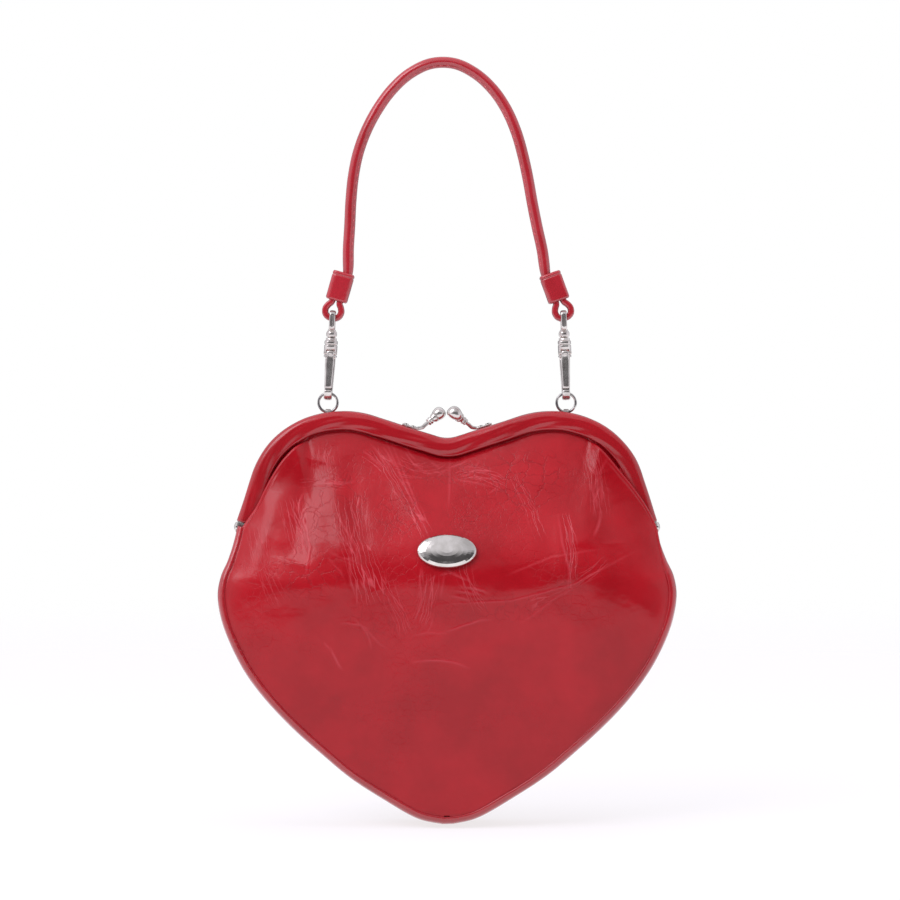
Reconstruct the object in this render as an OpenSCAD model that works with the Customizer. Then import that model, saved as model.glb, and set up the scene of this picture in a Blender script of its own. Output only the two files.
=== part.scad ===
// Heart-shaped handbag on a hinged frame, with a kiss-lock clasp and a rolled leather handle.
// Millimetres, +Z up, the front towards -Y. The origin is under the top of the handle, where it is held.
// The modules below work from the hinge axis of the frame, and held() lowers them to the origin.

/* [Frame] */
// Radius of the dip in the middle of the frame
dip_r = 14; // [10:0.5:18]
// Slope of the frame on both sides of the dip, in degrees
dip_slope = 18; // [14:0.5:22]
// Straight run from the dip up to the hump
dip_run = 29; // [26:0.5:33]
// Radius of the top of each hump
crest_r = 47; // [42:0.5:52]
// Turn of the top of each hump, in degrees
crest_turn = 36; // [33:0.5:39]
// Radius of each shoulder
shoulder_r = 40; // [36:0.5:44]
// Turn of each shoulder, in degrees
shoulder_turn = 54; // [51:0.5:57]
// Straight run from the shoulder down to the end of the leather
side_run = 21.5; // [18:0.5:25]
// Height of the leather band that shows
band_h = 8.2; // [7.4:0.1:9]
// Depth of each half of the frame
band_d = 7.5; // [6.8:0.1:8.5]
// Leather on the frame
wrap_t = 0.9; // [0.7:0.05:1.1]
// Steel of the frame's channel
steel_t = 0.9; // [0.7:0.05:1.1]
// Space between the two halves when they are shut
shut_gap = 0.3; // [0.2:0.05:0.6]
// Round of the band's front top edge
front_round = 2.2; // [1.5:0.1:2.6]
// Round of the band's edge beside the other half
inner_round = 1.8; // [1:0.1:2.2]

/* [Hinge] */
// Height from the hinge axis up to the end of the leather
hinge_drop = 3.2; // [3.1:0.1:3.8]
// Radius of the hinge pin
hinge_pin_r = 1.1; // [0.8:0.05:1.3]
// Radius of each hinge ear
ear_r = 2.4; // [2.3:0.05:2.5]
// Thickness of each hinge ear
ear_t = 1.0; // [0.8:0.05:1.2]
// Radius of the pin's outer head
pin_head_r = 2.3; // [1.8:0.1:2.5]
// Thickness of the pin's outer head
pin_head_t = 1.4; // [1:0.1:1.8]
// Running clearance of the hinge, on the radius
hinge_clear = 0.05; // [0.02:0.01:0.1]

/* [Pouch] */
// How far the widest part of the pouch stands out past the ends of the frame
pouch_margin = 7.7; // [5:0.1:12]
// Depth of the pouch below the hinge axis
pouch_drop = 131; // [120:1:140]
// Half the greatest width of the gusset
gusset_half = 19.4; // [17:0.2:23]
// How far the gusset bulges past its seams
gusset_bulge = 3.8; // [2:0.2:5]
// Leather of the panels and the gusset
panel_t = 1.4; // [1:0.1:1.6]
// Fabric of the lining
lining_t = 0.6; // [0.4:0.05:0.7]
// Space between the layers
ply_gap = 0.3; // [0.2:0.05:0.4]
// How far the middle of each panel stands out past its seam
panel_bulge = 16; // [12:0.5:18]
// Width of the slip pocket
pocket_w = 96; // [80:2:104]
// Height of the slip pocket
pocket_h = 54; // [44:2:60]
// Depth of the pocket's mouth below the hinge axis
pocket_drop = 28; // [24:1:34]

/* [Clasp] */
// Radius of each clasp ball
ball_r = 3.2; // [2.8:0.1:3.3]
// Distance of each ball from the middle
ball_x = 3.4; // [3.35:0.05:3.8]
// Height of the balls above the dip
ball_rise = 10.8; // [9.5:0.1:12.5]
// How far each ball stands past the meeting line
ball_cross = 1.2; // [0.5:0.1:2]
// Radius of the clasp arm
arm_r = 0.95; // [0.7:0.05:1.1]
// Length of the clasp's foot
foot_len = 8.8; // [7:0.2:10]
// Width of the clasp's foot
foot_w = 3; // [2.4:0.1:3.2]
// Thickness of the clasp's foot
foot_t = 0.9; // [0.7:0.05:1.1]
// Distance of the foot from the start of the straight run
foot_from = 7.7; // [6.5:0.1:9.5]
// Radius of the clasp rivets
clasp_rivet_r = 0.6; // [0.4:0.05:0.7]

/* [Rings] */
// Distance of each ring from the middle
ring_x = 53; // [50:0.5:56]
// Radius of the ring to the middle of its wire
ring_r = 4.2; // [4:0.1:4.8]
// Radius of the ring's wire
ring_wire_r = 0.6; // [0.45:0.05:0.65]
// Place of the rings behind the meeting line
ring_y = 1.1; // [1:0.05:1.4]
// Width of the ring's lug
lug_w = 2.2; // [1.6:0.1:2.4]
// Radius of the lug round its hole
lug_r = 1.35; // [1.25:0.05:1.4]
// Radius of the lug's hole
lug_hole_r = 0.8; // [0.75:0.05:0.9]

/* [Snap hooks] */
// Inner radius of the crook
crook_r = 2.5; // [2.4:0.1:3]
// Thickness of the crook and the spine
crook_t = 1.4; // [1.2:0.05:1.7]
// Half the width of the crook
crook_half_w = 1.7; // [1.4:0.05:1.8]
// Depth of the crook under the middle of the ring's wire
crook_drop = 1.7; // [1.6:0.05:1.8]
// Height of the barrel's underside above the ring's wire
barrel_from = 16; // [15.5:0.1:18]
// Height of the barrel
barrel_h = 7.4; // [7:0.1:8.5]
// Half the width of the barrel, seen from the front
barrel_half_w = 2.9; // [2.7:0.1:3.3]
// Radius of the gate's pin
gate_pin_r = 0.6; // [0.45:0.05:0.7]
// Thickness of the gate
gate_t = 1.4; // [1:0.05:1.5]
// Half the width of the gate
gate_half_w = 1.7; // [1.4:0.05:1.8]
// Space between the gate's tip and the nose
gate_gap = 0.8; // [0.4:0.05:1]
// Radius of the swivel post
post_r = 1.2; // [1:0.05:1.3]
// Height from the barrel up to the eye's opening
knuckle_h = 5.8; // [5.5:0.1:7]
// Height of the eye's opening
eye_h = 6.2; // [5.9:0.1:7.5]
// Half the width of the eye's opening
eye_half_w = 3.7; // [3.6:0.05:4.2]
// Thickness of the eye's flat wire
eye_t = 1.5; // [1.2:0.05:1.6]
// Width of the eye's flat wire
eye_w = 2.6; // [2.4:0.1:3]
// Lean of the left hook, in degrees
left_lean = 3.5; // [2:0.25:4]
// Lean of the right hook, in degrees
right_lean = -2; // [-3:0.25:0]

/* [Handle] */
// Thickness of the handle's rolled part, in the plane of the arch
roll_t = 4.6; // [4:0.1:5]
// Width of the handle's rolled part, from front to back
roll_w = 5.4; // [4.8:0.1:5.8]
// Leather round the handle's core
roll_skin = 1.0; // [0.8:0.05:1.2]
// Thickness of the handle's flat ends
tab_t = 2.8; // [2.4:0.05:3]
// Width of the handle's flat ends
tab_w = 6.4; // [5.8:0.1:6.8]
// Height of the arch, from the keepers' tops to the grip
arch_rise = 91.5; // [75:0.5:110]
// Length of each keeper
keeper_len = 13; // [11:0.5:15]
// Leather of the keepers
keeper_t = 1.0; // [0.8:0.05:1.2]
// Length of the loop that shows under each keeper
loop_len = 8.0; // [7.4:0.1:9.5]
// Half the width of the loop, to the middle of its leather
loop_half_w = 3.7; // [3.5:0.05:4]
// Lean of the left keeper, in degrees
left_keeper_lean = 16; // [12:0.5:20]
// Lean of the right keeper, in degrees
right_keeper_lean = -20; // [-23:0.5:-15]

/* [Ornament] */
// Half the width of the plaque
plaque_half_w = 13; // [10:0.5:15]
// Half the height of the plaque
plaque_half_h = 7.5; // [6:0.25:8]
// Thickness of the plaque at its rim
plaque_t = 1.2; // [0.8:0.1:1.6]
// Height of the plaque's dome above its rim
plaque_dome = 2.2; // [1.5:0.1:3]
// Depth of the plaque's middle below the hinge axis
plaque_drop = 9.6; // [9:0.1:12]
// Distance of each prong from the plaque's middle
prong_x = 7; // [5:0.25:8]
// Radius of each prong
prong_r = 0.7; // [0.5:0.05:0.9]

/* [Hidden] */

leather_red = "#b3202a";
steel_grey = "#c9c9c6";
lining_red = "#7d1f26";
cord_tan = "#cbb68f";
overrun = 1; // how far every cut runs past what it cuts
round_fn = 48;

// The frame's outer line, from the middle of the dip out to the end of the leather.
// Each step is [length or radius, turn in degrees], and a turn of 0 is a straight run.
FRAME = [[dip_r, dip_slope], [dip_run, 0], [crest_r, -crest_turn], [shoulder_r, -shoulder_turn],
    [side_run, 0]];

function step_len(s) = s[1] == 0 ? s[0] : s[0] * abs(s[1]) * PI / 180;
function walk(p, s, share = 1) = s[1] == 0
    ? [p[0] + share * s[0] * cos(p[2]), p[1] + share * s[0] * sin(p[2]), p[2]]
    : let (g = sign(s[1]), h = p[2] + share * s[1])
        [p[0] + g * s[0] * (sin(h) - sin(p[2])), p[1] - g * s[0] * (cos(h) - cos(p[2])), h];
function pose_after(n) = n == 0 ? [0, 0, 0] : walk(pose_after(n - 1), FRAME[n - 1]);
dip_z = hinge_drop - pose_after(len(FRAME))[1];
function frame_pose(n) = pose_after(n) + [0, dip_z, 0];
function pose_at(s, n = 0, p = [0, dip_z, 0]) = s <= step_len(FRAME[n]) || n == len(FRAME) - 1
    ? walk(p, FRAME[n], s / step_len(FRAME[n]))
    : pose_at(s - step_len(FRAME[n]), n + 1, walk(p, FRAME[n]));
function inset(p, d) = [p[0] + d * sin(p[2]), p[1] - d * cos(p[2])];
function total(v, n) = n == 0 ? 0 : v[n - 1] + total(v, n - 1);
frame_len = total([for (s = FRAME) step_len(s)], len(FRAME));
frame_end = frame_pose(len(FRAME));
pouch_half_w = frame_end[0] + pouch_margin; // at the middle of the gusset
// Where the frame's outer line is at the ring, which is on the top of the hump
crest_mid = [frame_pose(2)[0] + crest_r * sin(dip_slope), frame_pose(2)[1] - crest_r * cos(dip_slope)];
ring_heading = asin((crest_mid[0] - ring_x) / crest_r);
ring_top_z = crest_mid[1] + crest_r * cos(ring_heading);
foot_gap = 0.02; // between a brazed foot and the channel

// Straight-line mixing, and a smooth curve through hand-placed points
function mix(a, b, t) = a + (b - a) * t;
function curve_at(pts, t) =
    let (n = len(pts) - 1, k = min(floor(t * n), n - 1), f = t * n - k,
        a = pts[max(k - 1, 0)], b = pts[k], c = pts[k + 1], d = pts[min(k + 2, n)])
    0.5 * (2 * b + (c - a) * f + (2 * a - 5 * b + 4 * c - d) * f * f + (3 * b - a - 3 * c + d) * f * f * f);
function unit(v) = v / norm(v);

// Half-outline of the pouch at the middle of the gusset, as shares of its half-width and its drop
OUTLINE_SHARES = [[0.92, 0], [0.935, 0.05], [0.962, 0.115], [0.99, 0.17], [1, 0.235], [0.982, 0.315],
    [0.94, 0.4], [0.877, 0.49], [0.79, 0.58], [0.68, 0.67], [0.56, 0.755], [0.42, 0.845], [0.27, 0.92],
    [0.13, 0.98], [0.02, 1]];
// Half-width of the gusset down the pouch, as shares of its greatest half-width
GUSSET_SHARES = [0.546, 0.62, 0.73, 0.815, 0.876, 0.928, 0.969, 0.99, 1, 0.995, 0.98, 0.96, 0.94, 0.93, 0.93];
// How far the panels stand out down the pouch, as shares of the panel bulge
BULGE_SHARES = [0.84, 0.97, 1, 0.95, 0.85, 0.725, 0.6, 0.49, 0.38, 0.29, 0.2, 0.11, 0.05, 0.02, 0];
function outline(t) = let (p = curve_at(OUTLINE_SHARES, t)) [p[0] * pouch_half_w, -p[1] * pouch_drop];
function outline_normal(t) =
    let (step_share = 0.01, a = outline(max(t - step_share, 0)), b = outline(min(t + step_share, 1)),
        d = unit(b - a))
    [-d[1], d[0]];
function seam(t, d = 0) = outline(t) - (gusset_bulge + d) * outline_normal(t);
function seam_depth(t) = curve_at(GUSSET_SHARES, t) * gusset_half;
function bulge(t) = curve_at(BULGE_SHARES, t) * panel_bulge;
// Depth of a panel's outer face at a share across its width
crown_shares = [2.4, 0.8];
function crown(t, across) =
    seam_depth(t) + bulge(t) * pow(1 - pow(abs(across), crown_shares[0]), crown_shares[1]);

// Where the pieces of each side stand, up from the ring's wire along the hook
ring_lift = 0.15; // how much higher the lug's hole is than the channel's top needs
ring_bottom_z = ring_top_z - wrap_t + lug_hole_r + ring_lift;
ring_hook_z = ring_bottom_z + 2 * ring_r;
eye_from = barrel_from + barrel_h + knuckle_h;
bar_up = eye_from + eye_h + eye_t / 2;
function lean_of(side) = side < 0 ? left_lean : right_lean;
function keeper_lean_of(side) = side < 0 ? left_keeper_lean : right_keeper_lean;
function hook_foot(side) = [side * ring_x, ring_hook_z];
function eye_bar(side) = hook_foot(side) + bar_up * [sin(lean_of(side)), cos(lean_of(side))];
bar_clear = 0.6; // between the eye and the loop that holds it
loop_low = eye_t / 2 + bar_clear + tab_t / 2;
function keeper_mid(side) =
    let (a = keeper_lean_of(side))
    eye_bar(side) - loop_low * [sin(a), cos(a)] + (loop_len + keeper_len / 2) * [sin(a), cos(a)];
grip_z = max(keeper_top(-1)[1], keeper_top(1)[1]) + arch_rise;
function keeper_top(side) =
    let (a = keeper_lean_of(side)) keeper_mid(side) + keeper_len / 2 * [sin(a), cos(a)];

// Lowers a piece so that the underside of the handle's top is at the origin
module held() { translate([0, 0, -grip_z]) children(); }
module both_sides() { children(); mirror([1, 0, 0]) children(); }

// Points down the frame's outer line: [x, z, heading], from the middle out
turn_step = 6; // degrees between points on a turn
function step_points(n) = FRAME[n][1] == 0 ? 1 : ceil(abs(FRAME[n][1]) / turn_step);
function stations(more = 0) = concat(
    [for (n = [0:len(FRAME) - 1]) for (k = [0:step_points(n) - 1])
        walk(frame_pose(n), FRAME[n], k / step_points(n))],
    [frame_end + more * [cos(frame_end[2]), sin(frame_end[2]), 0]]);
// The same line a distance inwards, from the left end over the middle to the right end
function frame_line(d, more = 0) = let (right = [for (p = stations(more)) inset(p, d)])
    concat([for (k = [len(right) - 1:-1:1]) [-right[k][0], right[k][1]]], right);
function flipped(v) = [for (k = [len(v) - 1:-1:0]) v[k]];
// A slab of the frame's shape, between two distances inwards and between two depths to the front
module frame_slab(from, to, v_from, v_to, more = 0) {
    rotate([90, 0, 0]) translate([0, 0, v_from]) linear_extrude(v_to - v_from)
        polygon(concat(frame_line(from, more), flipped(frame_line(to, more))));
}
// Carries a closed section [distance inwards, depth] along the frame's whole outer line
module frame_sweep(section, cap) {
    m = len(section);
    lines = [for (p = section) frame_line(p[0])];
    count = len(lines[0]);
    polyhedron([for (k = [0:count - 1]) for (i = [0:m - 1]) [lines[i][k][0], -section[i][1], lines[i][k][1]]],
        concat([for (k = [0:count - 2]) for (i = [0:m - 1]) let (j = (i + 1) % m) each [
            [k * m + i, k * m + j, (k + 1) * m + i], [k * m + j, (k + 1) * m + j, (k + 1) * m + i]]],
            [for (f = cap) [f[2], f[1], f[0]]], [for (f = cap) [for (i = f) (count - 1) * m + i]]));
}
function turn_of(mid, r, a, b, n) =
    [for (k = [0:n]) mid + r * [cos(mix(a, b, k / n)), sin(mix(a, b, k / n))]];

// Sections of one half of the frame
mating_v = shut_gap / 2;
front_face = mating_v + band_d;
ROUND_STEPS = 4;
WRAP_SECTION = concat([[band_h, mating_v]],
    turn_of([inner_round, mating_v + inner_round], inner_round, 270, 180, ROUND_STEPS),
    turn_of([front_round, front_face - front_round], front_round, 180, 90, ROUND_STEPS),
    [[band_h, front_face], [band_h, front_face - wrap_t], [wrap_t, front_face - wrap_t],
    [wrap_t, mating_v + wrap_t], [band_h, mating_v + wrap_t]]);
// Triangles that close the section's ends: two legs, the web and the fans of the two rounds
function fan_of(mid, from, to) = [for (k = [from:to - 1]) [k, k + 1, mid]];
WRAP_CAP = let (a = 1 + ROUND_STEPS, b = a + 1, c = b + ROUND_STEPS, front_leg = c + 1, front_in = c + 3,
    mating_in = c + 4, mating_leg = c + 5)
    concat([[0, 1, mating_leg], [1, mating_in, mating_leg], [a, b, mating_in], [b, front_in, mating_in],
        [c, front_leg, front_in], [front_leg, front_leg + 1, front_in]],
        fan_of(mating_in, 1, a), fan_of(front_in, b, c));
channel_in = wrap_t + steel_t;
lip_set = 0.3; // how far the steel stops short of the leather's edge
module channel_bar(more) {
    difference() {
        frame_slab(wrap_t, band_h - lip_set, mating_v + wrap_t, front_face - wrap_t, more);
        frame_slab(channel_in, band_h + overrun, mating_v + channel_in, front_face - channel_in,
            more + overrun);
    }
}

// The slot in the leather and the seat for each ring's lug
slot_half_len = 4.6;
slot_w = 2.7;
module ring_slot() {
    translate([ring_x, slot_w / 2, ring_top_z]) rotate([0, -ring_heading, 0])
        cube([2 * slot_half_len, slot_w, 2 * wrap_t], center = true);
}

// Hinge ears: the front one lies inside the back one, and both turn on the pin along X
ear_gap = 0.1;
tang_run = 2.5; // how far the steel runs on past the leather
back_ear_x = frame_end[0] - ear_t;
front_ear_x = back_ear_x - ear_gap - ear_t;
module hinge_ear(from_x) {
    rotate([90, 0, 90]) translate([0, 0, from_x]) linear_extrude(ear_t) {
        circle(ear_r, $fn = round_fn);
        translate([-front_face + wrap_t, 0]) square([front_face - wrap_t, hinge_drop - hinge_clear]);
    }
}
module hinge_hole() {
    translate([front_ear_x - overrun, 0, 0]) rotate([0, 90, 0])
        cylinder(r = hinge_pin_r + hinge_clear, h = 2 * ear_t + ear_gap + 2 * overrun, $fn = round_fn);
}
// Room for the pin's inner head in the channel's legs
module pin_head_room() {
    translate([inner_head_x - head_gap, 0, 0]) rotate([0, 90, 0])
        cylinder(r = inner_head_r + head_gap, h = front_ear_x - inner_head_x + head_gap, $fn = round_fn);
}
// Room round the axis for the other half's ear
module ear_room(from_x) {
    translate([from_x, 0, 0]) rotate([0, 90, 0])
        cylinder(r = ear_r + shut_gap, h = ear_t + overrun, $fn = round_fn);
}
module half_channel(ear_x, room_x, rivet_side) {
    difference() {
        union() {
            difference() {
                channel_bar(tang_run);
                both_sides() {
                    ear_room(room_x);
                    pin_head_room();
                }
            }
            both_sides() hinge_ear(ear_x);
        }
        both_sides() hinge_hole();
        mirror([rivet_side < 0 ? 1 : 0, 0, 0]) clasp_rivet_shanks(hinge_clear / 2);
    }
}
module half_leather(rivet_side) {
    difference() {
        frame_sweep(WRAP_SECTION, WRAP_CAP);
        mirror([rivet_side < 0 ? 1 : 0, 0, 0]) clasp_rivet_shanks(hinge_clear / 2);
    }
}
module front_channel() {
    color(steel_grey) half_channel(front_ear_x, back_ear_x - ear_gap / 2, -1);
}
module back_channel() {
    color(steel_grey) mirror([0, 1, 0]) half_channel(back_ear_x, front_ear_x + ear_gap / 2 - overrun, 1);
}
module front_frame_leather() { color(leather_red) half_leather(-1); }
module back_frame_leather() {
    color(leather_red) difference() {
        mirror([0, 1, 0]) half_leather(1);
        both_sides() ring_slot();
    }
}

// Paper cord that packs the panel's edge into the channel
paper_r = (band_d - 2 * channel_in) / 2 - hinge_clear;
CORD_SIDES = 8;
rivet_head_t = 0.5; // of the rivets that hold the clasp
paper_in = channel_in + rivet_head_t + hinge_clear + paper_r; // clear of the rivets' inner heads
module paper_cord() {
    frame_sweep([for (k = [0:CORD_SIDES - 1]) [paper_in, mating_v + band_d / 2]
        + paper_r * [cos(360 * k / CORD_SIDES), -sin(360 * k / CORD_SIDES)]],
        [for (k = [1:CORD_SIDES - 2]) [0, k, k + 1]]);
}
module front_paper_cord() { color(cord_tan) paper_cord(); }
module back_paper_cord() { color(cord_tan) mirror([0, 1, 0]) paper_cord(); }

// Hinge pins with an outer domed head and an inner flat one
head_gap = 0.1;
inner_head_t = 0.8;
inner_head_share = 1.7; // radius of the inner head, as a share of the pin's
dome_share = 1.6; // radius of the outer head's dome, as a share of the head's
inner_head_r = hinge_pin_r * inner_head_share;
inner_head_x = front_ear_x - head_gap - inner_head_t;
dome_r = pin_head_r * dome_share;
module hinge_pin() {
    outer_x = back_ear_x + ear_t + head_gap;
    rotate([0, 90, 0]) {
        translate([0, 0, inner_head_x]) cylinder(r = inner_head_r, h = inner_head_t, $fn = round_fn);
        translate([0, 0, inner_head_x])
            cylinder(r = hinge_pin_r, h = outer_x - inner_head_x + pin_head_t / 2, $fn = round_fn);
        translate([0, 0, outer_x]) intersection() {
            cylinder(r = pin_head_r, h = pin_head_t, $fn = round_fn);
            translate([0, 0, pin_head_t - dome_r]) sphere(dome_r, $fn = round_fn);
        }
    }
}
module right_hinge_pin() { color(steel_grey) hinge_pin(); }
module left_hinge_pin() { color(steel_grey) mirror([1, 0, 0]) hinge_pin(); }

// A round rod between two points
module rod(a, b, r) {
    d = b - a;
    translate(a) rotate([0, acos(d[2] / norm(d)), atan2(d[1], d[0])]) cylinder(r = r, h = norm(d), $fn = 32);
}

// Clasp of the front half, drawn on the right: a foot on the straight run, an arm, a collar and a ball
run_pose = frame_pose(1);
foot_v = shut_gap / 2 + inner_round + foot_w / 2;
function on_run(along, up, v) =
    [run_pose[0] + along * cos(dip_slope) - up * sin(dip_slope), -v,
        run_pose[1] + along * sin(dip_slope) + up * cos(dip_slope)];
arm_start = on_run(foot_from + arm_r, foot_t / 2, foot_v);
ball_mid = [ball_x, ball_cross, dip_z + ball_rise];
// Places between the foot and the ball's middle, as shares of the way
collar_from_share = 0.45;
collar_to_share = 0.56;
arm_to_share = 0.62;
neck_share = 0.57;
collar_r_share = 1.6; // radius of the collar, as a share of the arm's
neck_r_share = 1.4; // radius of the neck, as a share of the arm's
cone_r_share = 0.88; // radius of the neck's wide end, as a share of the ball's
cone_end_share = 0.42; // how far short of the ball's middle the neck stops, as a share of the ball's radius
function to_ball(share) = mix(arm_start, ball_mid, share);
module clasp_foot() {
    translate(on_run(foot_from + foot_len / 2, foot_t / 2, foot_v)) rotate([0, -dip_slope, 0])
        cube([foot_len, foot_w, foot_t], center = true);
}
rivet_shares = [0.42, 0.8];
function on_rivet(s, up) = on_run(foot_from + foot_len * s, up, foot_v);
module clasp_rivet_shanks(extra = 0) {
    for (s = rivet_shares)
        rod(on_rivet(s, -channel_in - foot_t), on_rivet(s, foot_t + overrun / 2), clasp_rivet_r + extra);
}
module clasp_arm() {
    difference() {
        union() {
            clasp_foot();
            intersection() {
                sphere_at(arm_start, arm_r);
                clasp_side();
            }
            intersection() {
                rod(arm_start, to_ball(arm_to_share), arm_r);
                clasp_side();
            }
            rod(to_ball(collar_from_share), to_ball(collar_to_share), arm_r * collar_r_share);
        }
        clasp_rivet_shanks(hinge_clear / 2);
    }
}
// Everything above the leather of the straight run
module clasp_side() {
    translate(on_run(foot_from, foot_len / 2, 0)) rotate([0, -dip_slope, 0])
        cube([4 * foot_len, 4 * foot_len, foot_len], center = true);
}
module sphere_at(p, r) { translate(p) sphere(r, $fn = 40); }
module clasp_ball() {
    neck = to_ball(neck_share);
    back = ball_mid - neck;
    difference() {
        union() {
            sphere_at(ball_mid, ball_r);
            translate(neck) rotate([0, acos(back[2] / norm(back)), atan2(back[1], back[0])])
                cylinder(r1 = arm_r * neck_r_share, r2 = ball_r * cone_r_share,
                    h = norm(back) - ball_r * cone_end_share, $fn = 40);
        }
        rod(arm_start, to_ball(arm_to_share), arm_r);
    }
}
rivet_head_share = 1.7; // radius of a rivet's outer head, as a share of its shank's
rivet_tail_share = 1.5; // radius of its inner head
module clasp_rivets() {
    for (s = rivet_shares) {
        rod(on_rivet(s, -channel_in - rivet_head_t), on_rivet(s, foot_t + rivet_head_t), clasp_rivet_r);
        rod(on_rivet(s, foot_t), on_rivet(s, foot_t + rivet_head_t), clasp_rivet_r * rivet_head_share);
        rod(on_rivet(s, -channel_in - rivet_head_t), on_rivet(s, -channel_in),
            clasp_rivet_r * rivet_tail_share);
    }
}
module front_clasp_arm() { color(steel_grey) mirror([1, 0, 0]) clasp_arm(); }
module front_clasp_ball() { color(steel_grey) mirror([1, 0, 0]) clasp_ball(); }
module front_clasp_rivets() { color(steel_grey) mirror([1, 0, 0]) clasp_rivets(); }
module back_clasp_arm() { color(steel_grey) mirror([0, 1, 0]) clasp_arm(); }
module back_clasp_ball() { color(steel_grey) mirror([0, 1, 0]) clasp_ball(); }
module back_clasp_rivets() { color(steel_grey) mirror([0, 1, 0]) clasp_rivets(); }

// Lugs brazed to the back channel, and the rings that hang on them
module ring_lug() {
    difference() {
        translate([ring_x - lug_w / 2, ring_y, ring_bottom_z]) rotate([90, 0, 90])
            linear_extrude(lug_w) difference() {
            union() {
                circle(lug_r, $fn = round_fn);
                translate([0, -lug_r - lug_hole_r]) square([lug_r, lug_r + lug_hole_r]);
            }
            circle(lug_hole_r, $fn = round_fn);
        }
        // The lug's foot follows the top of the channel
        translate([crest_mid[0], 0, crest_mid[1]]) rotate([-90, 0, 0])
            cylinder(r = crest_r - wrap_t + foot_gap, h = band_d, $fn = 4 * round_fn);
    }
}
module right_ring_lug() { color(steel_grey) ring_lug(); }
module left_ring_lug() { color(steel_grey) mirror([1, 0, 0]) ring_lug(); }
module ring(side) {
    translate([side * ring_x, ring_y, ring_bottom_z + ring_r]) rotate([90, 0, 0])
        rotate_extrude($fn = 96) translate([ring_r, 0]) circle(ring_wire_r, $fn = 24);
}
module left_ring() { color(steel_grey) ring(-1); }
module right_ring() { color(steel_grey) ring(1); }

// A thin curved skin from a grid of outer points [x, depth, z], rows by columns, on the front (-Y) side
module skin(grid, thick) {
    rows = len(grid);
    cols = len(grid[0]);
    outer = [for (row = grid) for (p = row) [p[0], -p[1], p[2]]];
    inner = [for (row = grid) for (p = row) [p[0], -p[1] + thick, p[2]]];
    n = rows * cols;
    function id(r, c) = r * cols + c;
    faces = concat(
        [for (r = [0:rows - 2]) for (c = [0:cols - 2]) each [
            [id(r, c), id(r, c + 1), id(r + 1, c)], [id(r, c + 1), id(r + 1, c + 1), id(r + 1, c)],
            [n + id(r, c), n + id(r + 1, c), n + id(r, c + 1)],
            [n + id(r, c + 1), n + id(r + 1, c), n + id(r + 1, c + 1)]]],
        [for (c = [0:cols - 2]) each [
            [id(0, c), n + id(0, c), id(0, c + 1)], [id(0, c + 1), n + id(0, c), n + id(0, c + 1)],
            [id(rows - 1, c), id(rows - 1, c + 1), n + id(rows - 1, c)],
            [id(rows - 1, c + 1), n + id(rows - 1, c + 1), n + id(rows - 1, c)]]],
        [for (r = [0:rows - 2]) each [
            [id(r, 0), id(r + 1, 0), n + id(r, 0)], [id(r + 1, 0), n + id(r + 1, 0), n + id(r, 0)],
            [id(r, cols - 1), n + id(r, cols - 1), id(r + 1, cols - 1)],
            [id(r + 1, cols - 1), n + id(r, cols - 1), n + id(r + 1, cols - 1)]]]);
    polyhedron(concat(outer, inner), faces);
}

// Lower panels: slices across the pouch, from the hinge axis down to the tip
PANEL_ROWS = 22;
PANEL_COLS = 16;
LINING_ROWS = 14;
function lower_grid(from, to, inset_d, rows) = [for (r = [0:rows])
    let (t = mix(from, to, r / rows), p = seam(t, inset_d))
    [for (c = [-PANEL_COLS / 2:PANEL_COLS / 2]) let (across = 2 * c / PANEL_COLS)
        [p[0] * across, crown(t, across) - inset_d, p[1] - seam(0)[1]]]];
tip_share = 0.985; // where the panels stop above the tip
lower_lining_share = 0.13; // where the lower linings start, clear of the upper panels' travel
lining_inset = panel_t + ply_gap;
module lower_panel() { skin(lower_grid(0, tip_share, 0, PANEL_ROWS), panel_t); }
lining_tip_share = 0.965; // where the lining stops above the tip
module lower_lining() {
    skin(lower_grid(lower_lining_share, lining_tip_share, lining_inset, LINING_ROWS), lining_t);
}
module front_panel_lower() {
    color(leather_red) difference() {
        lower_panel();
        prong_rods(hinge_clear);
    }
}
module back_panel_lower() { color(leather_red) mirror([0, 1, 0]) lower_panel(); }
module front_lining_lower() { color(lining_red) lower_lining(); }
module back_lining_lower() { color(lining_red) mirror([0, 1, 0]) lower_lining(); }

// Slip pocket sewn to the back lining
pocket_inset = lining_inset + lining_t + ply_gap;
POCKET_ROWS = 10;
POCKET_COLS = 12;
module slip_pocket() {
    low = pocket_drop + pocket_h;
    color(lining_red) mirror([0, 1, 0]) skin([for (r = [0:POCKET_ROWS])
        let (z = -mix(pocket_drop, low, r / POCKET_ROWS), t = slice_of(z), w = seam(t, pocket_inset)[0])
        [for (c = [-POCKET_COLS / 2:POCKET_COLS / 2])
            let (x = pocket_w * c / POCKET_COLS, open = 1 - r / POCKET_ROWS,
                stand = pocket_slack * open * cos(180 * c / POCKET_COLS))
            [x, crown(t, x / w) - pocket_inset - stand, z]]], lining_t);
}
pocket_slack = 1.2; // how far the pocket's mouth stands off the lining
// Place down the outline of a height, found by halving
function slice_of(z, a = 0, b = 1, n = 14) = n == 0 ? (a + b) / 2
    : let (m = (a + b) / 2) seam(m)[1] - seam(0)[1] > z ? slice_of(z, m, b, n - 1) : slice_of(z, a, m, n - 1);

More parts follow.
